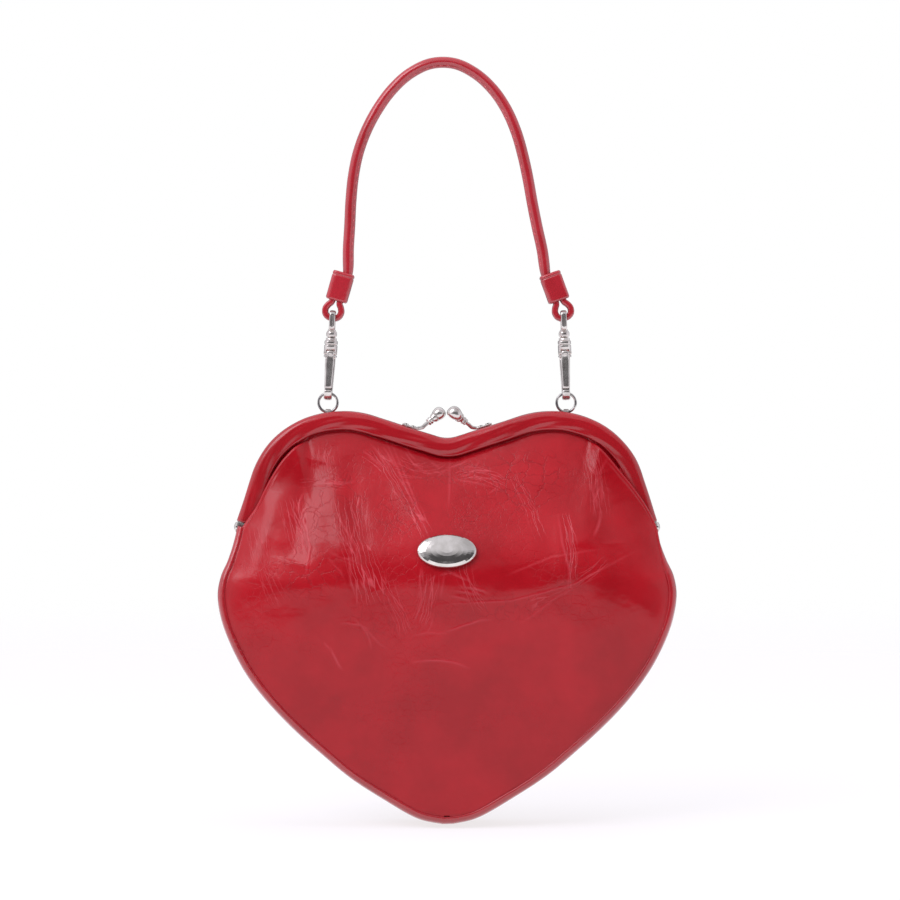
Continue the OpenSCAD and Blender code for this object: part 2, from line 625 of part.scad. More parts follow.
// Upper panels: columns from the hinge axis up to the frame.
// They slide inside the lower ones as the mouth opens.
UPPER_COLS = 36;
UPPER_ROWS = 9; // the last row is inside the channel
UPPER_LINING_COLS = 24;
UPPER_LINING_ROWS = 6;
slide_gap = 0.5; // between the upper and lower panels
tuck = 1.7; // how far the panel's edge goes into the channel
upper_puff = 3; // how far the upper panel swells below the frame
rim_depth = shut_gap / 2 + band_d / 2 + panel_t / 2 + ply_gap / 2;
function smooth(t) = t * t * (3 - 2 * t);
puff_gain = 12; // makes the swell's greatest height equal to upper_puff
tuck_ease = 0.7; // how much less the edge goes in at the ends of the frame
function upper_grid(inset_d, rows, cols) = [for (r = [rows:-1:0]) [for (c = [-cols / 2:cols / 2])
    let (share = abs(2 * c / cols), side = sign(c), p = pose_at(share * (frame_len - side_run / 5)),
        lip = inset(p, band_h + ply_gap), low_x = share * inset(pose_at(frame_len), band_h + ply_gap)[0],
        low = crown(0, low_x / seam(0)[0]) - panel_t - slide_gap, t = min(r / (rows - 1), 1),
        puff = upper_puff * puff_gain * pow(t, 4) * (1 - t) * (1 - pow(share, 4)),
        top = r < rows ? lip : inset(p, band_h + ply_gap - tuck * (1 - tuck_ease * smooth(share))))
    [side * mix(low_x, top[0], t), mix(low, rim_depth, t) + puff - inset_d, mix(0, top[1], t)]]];
module upper_panel() { skin(upper_grid(0, UPPER_ROWS, UPPER_COLS), panel_t); }
module upper_lining() { skin(upper_grid(lining_inset, UPPER_LINING_ROWS, UPPER_LINING_COLS), lining_t); }
module front_panel_upper() { color(leather_red) upper_panel(); }
module back_panel_upper() { color(leather_red) mirror([0, 1, 0]) upper_panel(); }
module front_lining_upper() { color(lining_red) upper_lining(); }
module back_lining_upper() { color(lining_red) mirror([0, 1, 0]) upper_lining(); }

// Gusset: a strip round the pouch from hinge to hinge, bulging past its seams
GUSSET_STEPS = 30;
GUSSET_LINING_STEPS = 20;
GUSSET_POINTS = 6;
gusset_from_share = 0.058; // where the strip starts, clear of the hinge
gusset_to_share = 0.995; // where its two sides meet at the tip
function gusset_station(side, t, inset_d, thick) =
    let (p = seam(t, inset_d), n = outline_normal(t), w = seam_depth(t) - panel_t - ply_gap - inset_d,
        z0 = seam(0)[1])
    [for (q = [[0, 1], [thick, -1]]) for (k = [-GUSSET_POINTS / 2:GUSSET_POINTS / 2])
        let (y = 2 * k * q[1] / GUSSET_POINTS, out = gusset_bulge * (1 - y * y) - q[0])
        [side * (p[0] + out * n[0]), w * y, p[1] + out * n[1] - z0]];
module gusset_strip(inset_d, thick, steps) {
    right = [for (k = [0:steps])
        gusset_station(1, mix(gusset_from_share, gusset_to_share, k / steps), inset_d, thick)];
    left = [for (k = [steps:-1:0]) [for (p = right[k]) [-p[0], p[1], p[2]]]];
    rings = concat(right, left);
    m = len(rings[0]);
    last = len(rings) - 1;
    polyhedron([for (ring = rings) each ring], concat(
        [for (k = [0:last - 1]) for (i = [0:m - 1]) let (j = (i + 1) % m) each [
            [k * m + i, k * m + j, (k + 1) * m + i], [k * m + j, (k + 1) * m + j, (k + 1) * m + i]]],
        [for (i = [0:m / 2 - 2]) each [[i, m - 1 - i, i + 1], [i + 1, m - 1 - i, m - 2 - i]]],
        [for (i = [0:m / 2 - 2]) each [[last * m + i, last * m + i + 1, last * m + m - 1 - i],
            [last * m + i + 1, last * m + m - 2 - i, last * m + m - 1 - i]]]));
}
module gusset() { color(leather_red) gusset_strip(0, panel_t, GUSSET_STEPS); }
module gusset_lining() { color(lining_red) gusset_strip(lining_inset, lining_t, GUSSET_LINING_STEPS); }

// The sliver between a square corner and its round, to be cut away
module corner_sliver(corner, r) {
    translate(corner) difference() {
        translate([-overrun, -overrun]) square(r + overrun);
        translate([r, r]) circle(r, $fn = round_fn);
    }
}

// A snap hook stands on the middle of the ring's wire, with its nose and gate to the front
module on_hook(side) {
    foot = hook_foot(side);
    translate([foot[0], ring_y, foot[1]]) rotate([0, lean_of(side), 0]) children();
}
barrel_half_d = crook_r + crook_t;
barrel_top = barrel_from + barrel_h;
gate_y = -crook_r - gate_t / 2;
gate_rise = 1.9; // of the gate's pin above the barrel's underside
gate_up = barrel_from + gate_rise;
barrel_round = 2.2;
neck_h = 1.2;
post_clear = 0.1;
head_room_h = 2.6;
post_head_h = 1.8;
post_head_r = 1.85;
room_cover = 1.4; // of the barrel above the post's head
head_room_z = barrel_top - room_cover - head_room_h;
pocket_gap = 0.25; // room at each side of the gate in the barrel
nose_rise = 0.6; // of the nose above the middle of the crook
nose_top = crook_r - crook_drop + nose_rise;
neck_set_in = 0.4; // of the neck from the barrel's side
room_behind = 0.2; // behind the gate's pivot in its pocket
gate_low = nose_top + gate_gap;
// Turns a flat outline in Y and Z into a plate across X
module across(half_w) {
    translate([-half_w, 0, 0]) rotate([90, 0, 90]) linear_extrude(2 * half_w) children();
}
module barrel_section() {
    difference() {
        square([2 * barrel_half_w, 2 * barrel_half_d], center = true);
        for (sx = [0, 1]) for (sy = [0, 1]) mirror([sx, 0]) mirror([0, sy])
            corner_sliver([-barrel_half_w, -barrel_half_d], barrel_round);
    }
}
module hook_body() {
    mid = crook_r - crook_drop;
    difference() {
        union() {
            across(crook_half_w) difference() {
                union() {
                    translate([0, mid]) circle(crook_r + crook_t, $fn = 64);
                    translate([crook_r, mid]) square([crook_t, barrel_from - mid + overrun / 2]);
                    translate([-crook_r - crook_t, mid]) square([crook_t, nose_top - mid]);
                }
                translate([0, mid]) circle(crook_r, $fn = 64);
                translate([-crook_r, mid]) square([2 * crook_r, barrel_from]);
                translate([-crook_r - crook_t - overrun, nose_top])
                    square([crook_t + overrun * 2, barrel_from]);
            }
            translate([0, 0, barrel_from]) linear_extrude(barrel_h) barrel_section();
            translate([0, 0, barrel_top])
                cylinder(r = barrel_half_w - neck_set_in, h = neck_h, $fn = round_fn);
        }
        // Bore of the swivel post, and the room for its head
        translate([0, 0, head_room_z])
            cylinder(r = post_head_r + post_clear, h = head_room_h, $fn = round_fn);
        translate([0, 0, head_room_z]) cylinder(r = post_r + post_clear, h = barrel_h, $fn = round_fn);
        // Pocket of the gate, and the holes of its pin
        translate([-gate_half_w - pocket_gap, -barrel_half_d - overrun, barrel_from - overrun])
            cube([2 * (gate_half_w + pocket_gap), overrun + 2 * gate_t + room_behind,
                gate_up - barrel_from + gate_t + overrun]);
        translate([-barrel_half_w - overrun, gate_y, gate_up]) rotate([0, 90, 0])
            cylinder(r = gate_pin_r, h = 2 * (barrel_half_w + overrun), $fn = 32);
    }
}
spring_r = 1.05;
spring_half_w = 0.75;
spring_wire = 0.3;
spring_side_gap = 0.15;
gate_eye_share = 0.82; // radius of the gate's pivot, as a share of its thickness
module gate() {
    difference() {
        union() {
            across(gate_half_w) {
                translate([gate_y, gate_up]) circle(gate_t * gate_eye_share, $fn = 40);
                translate([-crook_r - gate_t, gate_low]) square([gate_t, gate_up - gate_low]);
            }
        }
        across(gate_half_w + overrun) translate([gate_y, gate_up]) circle(gate_pin_r + hinge_clear, $fn = 32);
        // Room for the coil between the gate's two ears
        across(spring_half_w + spring_side_gap) translate([gate_y, gate_up]) circle(gate_t, $fn = 32);
    }
}
module gate_pin() { across(barrel_half_w) translate([gate_y, gate_up]) circle(gate_pin_r, $fn = 32); }
module gate_spring() {
    across(spring_half_w) translate([gate_y, gate_up]) difference() {
        circle(spring_r, $fn = 32);
        circle(spring_r - spring_wire, $fn = 32);
    }
}
module left_hook_body() { color(steel_grey) on_hook(-1) hook_body(); }
module right_hook_body() { color(steel_grey) on_hook(1) hook_body(); }
module left_gate() { color(steel_grey) on_hook(-1) gate(); }
module right_gate() { color(steel_grey) on_hook(1) gate(); }
module left_gate_pin() { color(steel_grey) on_hook(-1) gate_pin(); }
module right_gate_pin() { color(steel_grey) on_hook(1) gate_pin(); }
module left_gate_spring() { color(steel_grey) on_hook(-1) gate_spring(); }
module right_gate_spring() { color(steel_grey) on_hook(1) gate_spring(); }

// Swivel eye: a flat-wire loop through the handle's end, on a headed post in the barrel
eye_corner_r = 0.8; // inside the loop's corners
eye_neck_share = 0.8; // radius of the neck, as a share of the wire's width
module rounded(w, h, r) {
    difference() {
        translate([-w / 2, 0]) square([w, h]);
        for (sx = [0, 1]) mirror([sx, 0]) {
            corner_sliver([-w / 2, 0], r);
            translate([0, h]) mirror([0, 1]) corner_sliver([-w / 2, 0], r);
        }
    }
}
module swivel_eye() {
    neck_top = barrel_top + neck_h + post_clear;
    union() {
        across(eye_w / 2) difference() {
            translate([0, eye_from - eye_t])
                rounded(2 * (eye_half_w + eye_t), eye_h + 2 * eye_t, eye_corner_r + eye_t / 2);
            translate([0, eye_from]) rounded(2 * eye_half_w, eye_h, eye_corner_r);
        }
        translate([0, 0, neck_top])
            cylinder(r = eye_w * eye_neck_share, h = eye_from - eye_t / 2 - neck_top, $fn = round_fn);
        translate([0, 0, head_room_z + post_clear])
            cylinder(r = post_r, h = eye_from - head_room_z - eye_t, $fn = round_fn);
        translate([0, 0, head_room_z + 2 * post_clear])
            cylinder(r = post_head_r, h = post_head_h, $fn = round_fn);
    }
}
module left_swivel_eye() { color(steel_grey) on_hook(-1) swivel_eye(); }
module right_swivel_eye() { color(steel_grey) on_hook(1) swivel_eye(); }

// Keepers: leather bands round the doubled ends of the handle
keeper_clear = 0.15;
layer_gap = 0.3;
tail_v = (tab_t + layer_gap) / 2;
keeper_ease = 1.6; // extra room where the handle starts to thicken
keeper_in_w = 2 * tail_v + tab_t + 2 * keeper_clear + keeper_ease;
module on_keeper(side) {
    mid = keeper_mid(side);
    translate([mid[0], ring_y, mid[1]]) rotate([0, keeper_lean_of(side), 0]) children();
}
module pill(w, d) {
    r = w / 4;
    difference() {
        square([w, d], center = true);
        for (sx = [0, 1]) for (sy = [0, 1]) mirror([sx, 0]) mirror([0, sy])
            corner_sliver([-w / 2, -d / 2], r);
    }
}
module keeper() {
    translate([0, 0, -keeper_len / 2]) linear_extrude(keeper_len) difference() {
        pill(keeper_in_w + 2 * keeper_t, tab_w + 2 * keeper_clear + 2 * keeper_t);
        square([keeper_in_w, tab_w + 2 * keeper_clear], center = true);
    }
}
module left_keeper() { color(leather_red) on_keeper(-1) keeper(); }
module right_keeper() { color(leather_red) on_keeper(1) keeper(); }

// Route of the handle. Each loop is drawn in its keeper's own directions, as shares of the loop's half-width
// and of its length below the keeper; the arch is drawn as shares of its half-span and its rise.
LOOP_SHARES = [[0.5, 0.12], [0.78, 0.32], [0.97, 0.56], [0.84, 0.82], [0.45, 0.97], [0, 1]];
function in_keeper(side, v, w) =
    let (a = keeper_lean_of(side)) keeper_mid(side) + v * [cos(a), -sin(a)] + w * [sin(a), cos(a)];
under_keeper_share = 0.2; // down to here the loop's two sides are still flat on each other
function loop_side(side, way) = [for (p = LOOP_SHARES)
    in_keeper(side, way * max(p[0] * loop_half_w, p[1] < under_keeper_share ? tail_v : 0),
        -keeper_len / 2 - p[1] * loop_len)];
// Places in the keeper, as shares of its length up from its middle
tail_end_share = 0.42;
arch_start_share = 0.1;
keeper_low_share = -0.35;
function tail(side, way) =
    [for (s = [tail_end_share, 0, keeper_low_share]) in_keeper(side, way * tail_v, s * keeper_len)];
// Points of the arch from the left keeper to the right one: shares of the half-span, and of the rise
ARCH_SHARES = [[-1, 0], [-0.996, 0.114], [-0.982, 0.227], [-0.97, 0.341], [-0.946, 0.454], [-0.898, 0.565],
    [-0.815, 0.672], [-0.701, 0.772], [-0.557, 0.864], [-0.378, 0.94], [-0.16, 0.988], [0.08, 0.988],
    [0.297, 0.939], [0.475, 0.862], [0.609, 0.768], [0.705, 0.664], [0.772, 0.555], [0.823, 0.445],
    [0.866, 0.333], [0.914, 0.222], [0.966, 0.112], [1, 0]];
left_top = in_keeper(-1, tail_v, keeper_len / 2);
right_top = in_keeper(1, -tail_v, keeper_len / 2);
arch_top_share = 0.996; // the curve's highest share, which carries the grip
function arch_point(p) =
    let (mid = (left_top[0] + right_top[0]) / 2, half = (right_top[0] - left_top[0]) / 2,
        low = mix(left_top[1], right_top[1], (p[0] + 1) / 2), high = grip_z + roll_t / 2)
    [mid + half * p[0], mix(low, high, p[1] / arch_top_share)];
ROUTE = concat(tail(-1, -1), loop_side(-1, -1), [for (k = [len(LOOP_SHARES) - 2:-1:0]) loop_side(-1, 1)[k]],
    [for (s = [keeper_low_share, arch_start_share]) in_keeper(-1, tail_v, s * keeper_len)],
    [for (p = ARCH_SHARES) arch_point(p)],
    [for (s = [arch_start_share, keeper_low_share]) in_keeper(1, -tail_v, s * keeper_len)],
    [for (k = [0:len(LOOP_SHARES) - 2]) loop_side(1, -1)[k]], flipped(loop_side(1, 1)), flipped(tail(1, 1)));
loop_points = 2 * len(LOOP_SHARES) + 4; // points from each end of the strap to the start of the arch
// How rolled the strap is at a point of the route: 0 is flat, and 1 is round with its core
roll_over = 1.6; // points of the route over which the flat end turns round
tab_squareness = 0.45; // of the flat ends' section, where 1 is round
heading_step = 0.2;
function rolled(k) =
    let (n = len(ROUTE) - 1, near = min(k, n - k) - loop_points + 1) smooth(min(max(near / roll_over, 0), 1));
STRAP_SIDES = 10;
STRAP_STEPS = 2; // rings for each point of the route
function strap_station(i, cut) =
    let (k = i / STRAP_STEPS, n = len(ROUTE) - 1, t = k / n, p = curve_at(ROUTE, t), e = heading_step / n,
        d = unit(curve_at(ROUTE, min(t + e, 1)) - curve_at(ROUTE, max(t - e, 0))), r = rolled(k),
        half_t = mix(tab_t, roll_t, r) / 2 - cut, half_w = mix(tab_w, roll_w, r) / 2 - cut,
        sharp = mix(tab_squareness, 1, r))
    [for (q = [0:STRAP_SIDES - 1]) let (a = 360 * q / STRAP_SIDES, c = cos(a), s = sin(a),
        v = half_t * sign(c) * pow(abs(c), sharp), w = half_w * sign(s) * pow(abs(s), sharp))
        [p[0] - d[1] * v, ring_y + w, p[1] + d[0] * v]];
strap_last = (len(ROUTE) - 1) * STRAP_STEPS;
function wall_faces(first, m, last, turned) = [for (k = [0:last - 1]) for (i = [0:m - 1])
    let (j = (i + 1) % m, a = first + k * m, b = a + m) each turned
        ? [[a + i, a + j, b + i], [a + j, b + j, b + i]] : [[a + i, b + i, a + j], [a + j, b + i, b + j]]];
// The leather is a tube that is open at both ends, and the core fills it
module handle_leather() {
    m = STRAP_SIDES;
    n = m * (strap_last + 1);
    color(leather_red) polyhedron(
        [for (cut = [0, roll_skin]) for (i = [0:strap_last]) each strap_station(i, cut)],
        concat(wall_faces(0, m, strap_last, false), wall_faces(n, m, strap_last, true),
            [for (i = [0:m - 1]) let (j = (i + 1) % m) each [[i, j, n + i], [j, n + j, n + i]]],
            [for (i = [0:m - 1]) let (j = (i + 1) % m, e = strap_last * m) each [
                [e + i, n + e + i, e + j], [e + j, n + e + i, n + e + j]]]));
}
module handle_core() {
    m = STRAP_SIDES;
    e = strap_last * m;
    color(cord_tan) polyhedron([for (i = [0:strap_last]) each strap_station(i, roll_skin + hinge_clear)],
        concat(wall_faces(0, m, strap_last, false), [for (i = [1:m - 2]) [0, i, i + 1]],
            [for (i = [1:m - 2]) [e, e + i + 1, e + i]]));
}

// Plain oval plaque on the front panel, its prongs, and the washer plate that they are bent over
plaque_t_share = slice_of(-plaque_drop);
plaque_seat_gap = 0.3;
plaque_seat = crown(plaque_t_share, 0) + plaque_seat_gap;
// The plaque leans with the panel behind it
function mid_crown(z) = crown(slice_of(z), 0);
plaque_tilt = atan((mid_crown(-plaque_drop - plaque_half_h) - mid_crown(-plaque_drop + plaque_half_h))
    / (2 * plaque_half_h));
module on_plaque() {
    translate([0, -plaque_seat, -plaque_drop]) rotate([90 - plaque_tilt, 0, 0]) children();
}
plaque_reach = 2.2; // from the panel's inner face to the end of the prongs
module prong_rods(extra = 0) {
    on_plaque() for (s = [-1, 1]) translate([s * prong_x, 0, -panel_t - plaque_reach])
        cylinder(r = prong_r + extra, h = panel_t + plaque_reach + plaque_t / 2, $fn = 32);
}
PLAQUE_RINGS = 8;
PLAQUE_SIDES = 40;
// Domed oval: rings from the rim up to the middle
module plaque_shell() {
    quarter = 90;
    rim = [for (k = [0:PLAQUE_RINGS - 1]) let (a = quarter * k / PLAQUE_RINGS)
        [cos(a), plaque_t + plaque_dome * sin(a)]];
    levels = concat([[1, 0]], rim);
    m = PLAQUE_SIDES;
    last = len(levels) - 1;
    points = concat([for (l = levels) for (q = [0:m - 1])
        [l[0] * plaque_half_w * cos(360 * q / m), l[0] * plaque_half_h * sin(360 * q / m), l[1]]],
        [[0, 0, plaque_t + plaque_dome]]);
    polyhedron(points, concat(
        [[for (q = [0:m - 1]) q]],
        [for (k = [0:last - 1]) for (q = [0:m - 1]) let (j = (q + 1) % m) each [
            [k * m + q, (k + 1) * m + q, k * m + j], [k * m + j, (k + 1) * m + q, (k + 1) * m + j]]],
        [for (q = [0:m - 1]) [last * m + q, len(points) - 1, last * m + (q + 1) % m]]));
}
module plaque() {
    color(steel_grey) union() {
        on_plaque() plaque_shell();
        prong_rods();
    }
}
backing_t = 0.6;
backing_margin = 2; // past each prong
module plaque_backing() {
    color(steel_grey) on_plaque() translate([0, 0, -panel_t - 2 * plaque_seat_gap - backing_t]) difference() {
        linear_extrude(backing_t) square([2 * (prong_x + backing_margin), plaque_half_h], center = true);
        for (s = [-1, 1]) translate([s * prong_x, 0, -overrun])
            cylinder(r = prong_r + hinge_clear, h = backing_t + 2 * overrun, $fn = 32);
    }
}

held() front_channel();
held() back_channel();
held() front_frame_leather();
held() back_frame_leather();
held() front_paper_cord();
held() back_paper_cord();
held() left_hinge_pin();
held() right_hinge_pin();
held() front_clasp_arm();
held() back_clasp_arm();
held() front_clasp_ball();
held() back_clasp_ball();
held() front_clasp_rivets();
held() back_clasp_rivets();
held() left_ring_lug();
held() right_ring_lug();
held() left_ring();
held() right_ring();
held() front_panel_upper();
held() back_panel_upper();
held() front_panel_lower();
held() back_panel_lower();
held() gusset();
held() front_lining_upper();
held() back_lining_upper();
held() front_lining_lower();
held() back_lining_lower();
held() gusset_lining();
held() slip_pocket();
held() left_swivel_eye();
held() right_swivel_eye();
held() left_hook_body();
held() right_hook_body();
held() left_gate();
held() right_gate();
held() left_gate_pin();
held() right_gate_pin();
held() left_gate_spring();
held() right_gate_spring();
held() handle_leather();
held() handle_core();
held() left_keeper();
held() right_keeper();
held() plaque();
held() plaque_backing();
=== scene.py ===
import math

import bpy
import bmesh
import numpy as np
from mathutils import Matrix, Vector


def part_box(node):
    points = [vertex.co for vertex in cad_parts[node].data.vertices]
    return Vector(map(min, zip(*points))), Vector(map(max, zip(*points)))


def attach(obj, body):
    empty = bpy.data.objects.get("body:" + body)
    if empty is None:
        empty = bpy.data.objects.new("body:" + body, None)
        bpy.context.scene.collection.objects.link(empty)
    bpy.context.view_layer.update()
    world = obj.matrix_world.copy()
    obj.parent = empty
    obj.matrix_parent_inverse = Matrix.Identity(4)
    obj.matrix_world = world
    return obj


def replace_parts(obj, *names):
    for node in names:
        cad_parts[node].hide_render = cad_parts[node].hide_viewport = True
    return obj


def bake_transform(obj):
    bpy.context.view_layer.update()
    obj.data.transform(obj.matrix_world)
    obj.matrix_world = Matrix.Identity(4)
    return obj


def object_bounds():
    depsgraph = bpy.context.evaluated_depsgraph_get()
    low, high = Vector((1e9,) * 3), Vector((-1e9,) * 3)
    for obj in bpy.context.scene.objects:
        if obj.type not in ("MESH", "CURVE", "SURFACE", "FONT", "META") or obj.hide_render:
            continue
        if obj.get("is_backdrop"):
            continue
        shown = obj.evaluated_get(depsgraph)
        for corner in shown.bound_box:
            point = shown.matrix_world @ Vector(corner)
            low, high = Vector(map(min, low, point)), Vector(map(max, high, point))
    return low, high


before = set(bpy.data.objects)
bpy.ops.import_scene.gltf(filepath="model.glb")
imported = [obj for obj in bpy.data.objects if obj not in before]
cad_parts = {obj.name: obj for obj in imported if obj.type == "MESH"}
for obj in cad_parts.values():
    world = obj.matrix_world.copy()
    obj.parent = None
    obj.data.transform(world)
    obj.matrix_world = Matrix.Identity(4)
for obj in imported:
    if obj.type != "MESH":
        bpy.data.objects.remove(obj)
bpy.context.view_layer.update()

# ---------------------------------------------------------------- front and back panels
# The panels are soft calf leather with a thick glazed finish, cut as one sheet each, gathered under the
# frame's band, folded back at the sides and sewn to the gusset inside out, so that the edge rolls in.
pin_low, pin_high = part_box("left_hinge_pin")
HINGE_Z = (pin_low[2] + pin_high[2]) / 2
MM = 0.001  # everything is drawn in millimetres from the hinge axis
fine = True


def through(points, t):
    """Smooth curve through points at shares t of its length in steps."""
    p = np.asarray(points, float)
    p = p[:, None] if p.ndim == 1 else p
    n = len(p) - 1
    t = np.atleast_1d(np.asarray(t, float))
    k = np.clip(np.floor(t * n).astype(int), 0, n - 1)
    f = (t * n - k)[:, None]
    a, b, c, d = p[np.maximum(k - 1, 0)], p[k], p[k + 1], p[np.minimum(k + 2, n)]
    out = 0.5 * (2 * b + (c - a) * f + (2 * a - 5 * b + 4 * c - d) * f**2 + (3 * b - a - 3 * c + d) * f**3)
    return out[:, 0] if out.shape[1] == 1 else out


def ease(t):
    """Soft step from 0 to 1."""
    t = np.clip(t, 0, 1)
    return t * t * (3 - 2 * t)


def unit(rows):
    """Each row at length 1."""
    return rows / np.linalg.norm(rows, axis=1)[:, None]


def run_along(line):
    """How much of a line's length lies before each of its points."""
    return np.concatenate([[0], np.cumsum(np.linalg.norm(np.diff(line, axis=0), axis=1))])


# Outline of the pouch at the middle of the gusset, and the depths of seam and panel, down the pouch
POUCH_HALF_W, POUCH_DROP, GUSSET_BULGE, GUSSET_HALF, PANEL_BULGE = 101, 131, 3.8, 19.4, 16
OUTLINE = [(0.92, 0), (0.935, 0.05), (0.962, 0.115), (0.99, 0.17), (1, 0.235), (0.982, 0.315), (0.94, 0.4),
           (0.877, 0.49), (0.79, 0.58), (0.68, 0.67), (0.56, 0.755), (0.42, 0.845), (0.27, 0.92), (0.13, 0.98),
           (0.02, 1)]
SEAM_DEPTHS = [0.546, 0.62, 0.73, 0.815, 0.876, 0.928, 0.969, 0.99, 1, 0.995, 0.98, 0.96, 0.94, 0.93, 0.93]
BULGES = [0.84, 0.97, 1, 0.95, 0.85, 0.725, 0.6, 0.49, 0.38, 0.29, 0.2, 0.11, 0.05, 0.02, 0]


def outline(t):
    return through(OUTLINE, t) * (POUCH_HALF_W, -POUCH_DROP)


def outline_normal(t):
    d = unit(outline(np.minimum(np.asarray(t) + 0.01, 1)) - outline(np.maximum(np.asarray(t) - 0.01, 0)))
    return np.stack([-d[:, 1], d[:, 0]], 1)


def seam(t, inset=0):
    line = outline(t) - (GUSSET_BULGE + inset) * outline_normal(t)
    start = outline([0.0]) - GUSSET_BULGE * outline_normal([0.0])
    return line - (0, start[0, 1])


def seam_depth(t):
    return through(SEAM_DEPTHS, t) * GUSSET_HALF


def crown(t, across):
    return seam_depth(t) + through(BULGES, t) * PANEL_BULGE * (1 - np.abs(across) ** 2.4) ** 0.8


# The frame's outer line from the middle of the dip: [length or radius, turn in degrees]. Then the band's height
# and depth, the gap between the closed halves, and how far the band ends above the hinge axis
FRAME_STEPS = [(14, 18), (29, 0), (47, -36), (40, -54), (21.5, 0)]
BAND_H, BAND_D, SHUT_GAP, HINGE_DROP = 8.2, 7.5, 0.3, 3.2
MATE = SHUT_GAP / 2
FACE = MATE + BAND_D


def frame_right(step=0.6):
    """Points [x, z, heading] of the frame's outer line, from the dip out to the end of the leather."""
    pts, p = [(0.0, 0.0, 0.0)], (0.0, 0.0, 0.0)
    for size, turn in FRAME_STEPS:
        length = size if turn == 0 else size * math.radians(abs(turn))
        count = max(2, round(length / step))
        for k in range(1, count + 1):
            share = k / count
            if turn == 0:
                a = math.radians(p[2])
                q = (p[0] + share * size * math.cos(a), p[1] + share * size * math.sin(a), p[2])
            else:
                g, h = math.copysign(1, turn), p[2] + share * turn
                q = (p[0] + g * size * (math.sin(math.radians(h)) - math.sin(math.radians(p[2]))),
                     p[1] - g * size * (math.cos(math.radians(h)) - math.cos(math.radians(p[2]))), h)
            pts.append(q)
        p = pts[-1]
    pts = np.array(pts)
    pts[:, 1] += HINGE_DROP - pts[-1, 1]
    return pts


def inward(pts, d):
    """The line a distance d inside the frame's outer line."""
    h = np.radians(pts[:, 2])
    d = np.asarray(d, float)
    return np.stack([pts[:, 0] + d * np.sin(h), pts[:, 1] - d * np.cos(h)], 1)


def along(line, count):
    """count points evenly spaced on a line, or points at the given shares of its length."""
    line = np.asarray(line, float)
    run = run_along(line)
    at = np.linspace(0, run[-1], count) if np.ndim(count) == 0 else np.asarray(count) * run[-1]
    return np.stack([np.interp(at, run, line[:, k]) for k in range(line.shape[1])], 1)


# Side folds of the front panel, from the frame's band down to the hinge height, seen from the front
FOLD = {-1: [(61.5, 39.0), (66.8, 34.9), (71.9, 29.6), (76.0, 23.6), (79.4, 17.4), (83.2, 9.6), (86.6, 4.4),
             (89.6, 0)],
        1: [(62.0, 39.0), (67.2, 34.6), (72.2, 29.0), (76.6, 23.6), (81.0, 18.2), (86.4, 10.6), (89.8, 4.6),
            (91.8, 0)]}
LEAVE_SHARE = 0.16  # of the fold, in which the sheet's edge comes away from the frame
# How far each side stands out past the seam, fading over the depth below; how far and how deep the sheet is
# tucked under the band, where its edge meets the band's lip, and how deep it lies in the fold
SIDE_EASE, SIDE_EASE_DROP = {-1: 0.4, 1: 2.6}, 34
TUCK, TUCK_DEPTH, LIP, FOLD_DEPTH = 2.0, 4.9, 0.3, 10.2


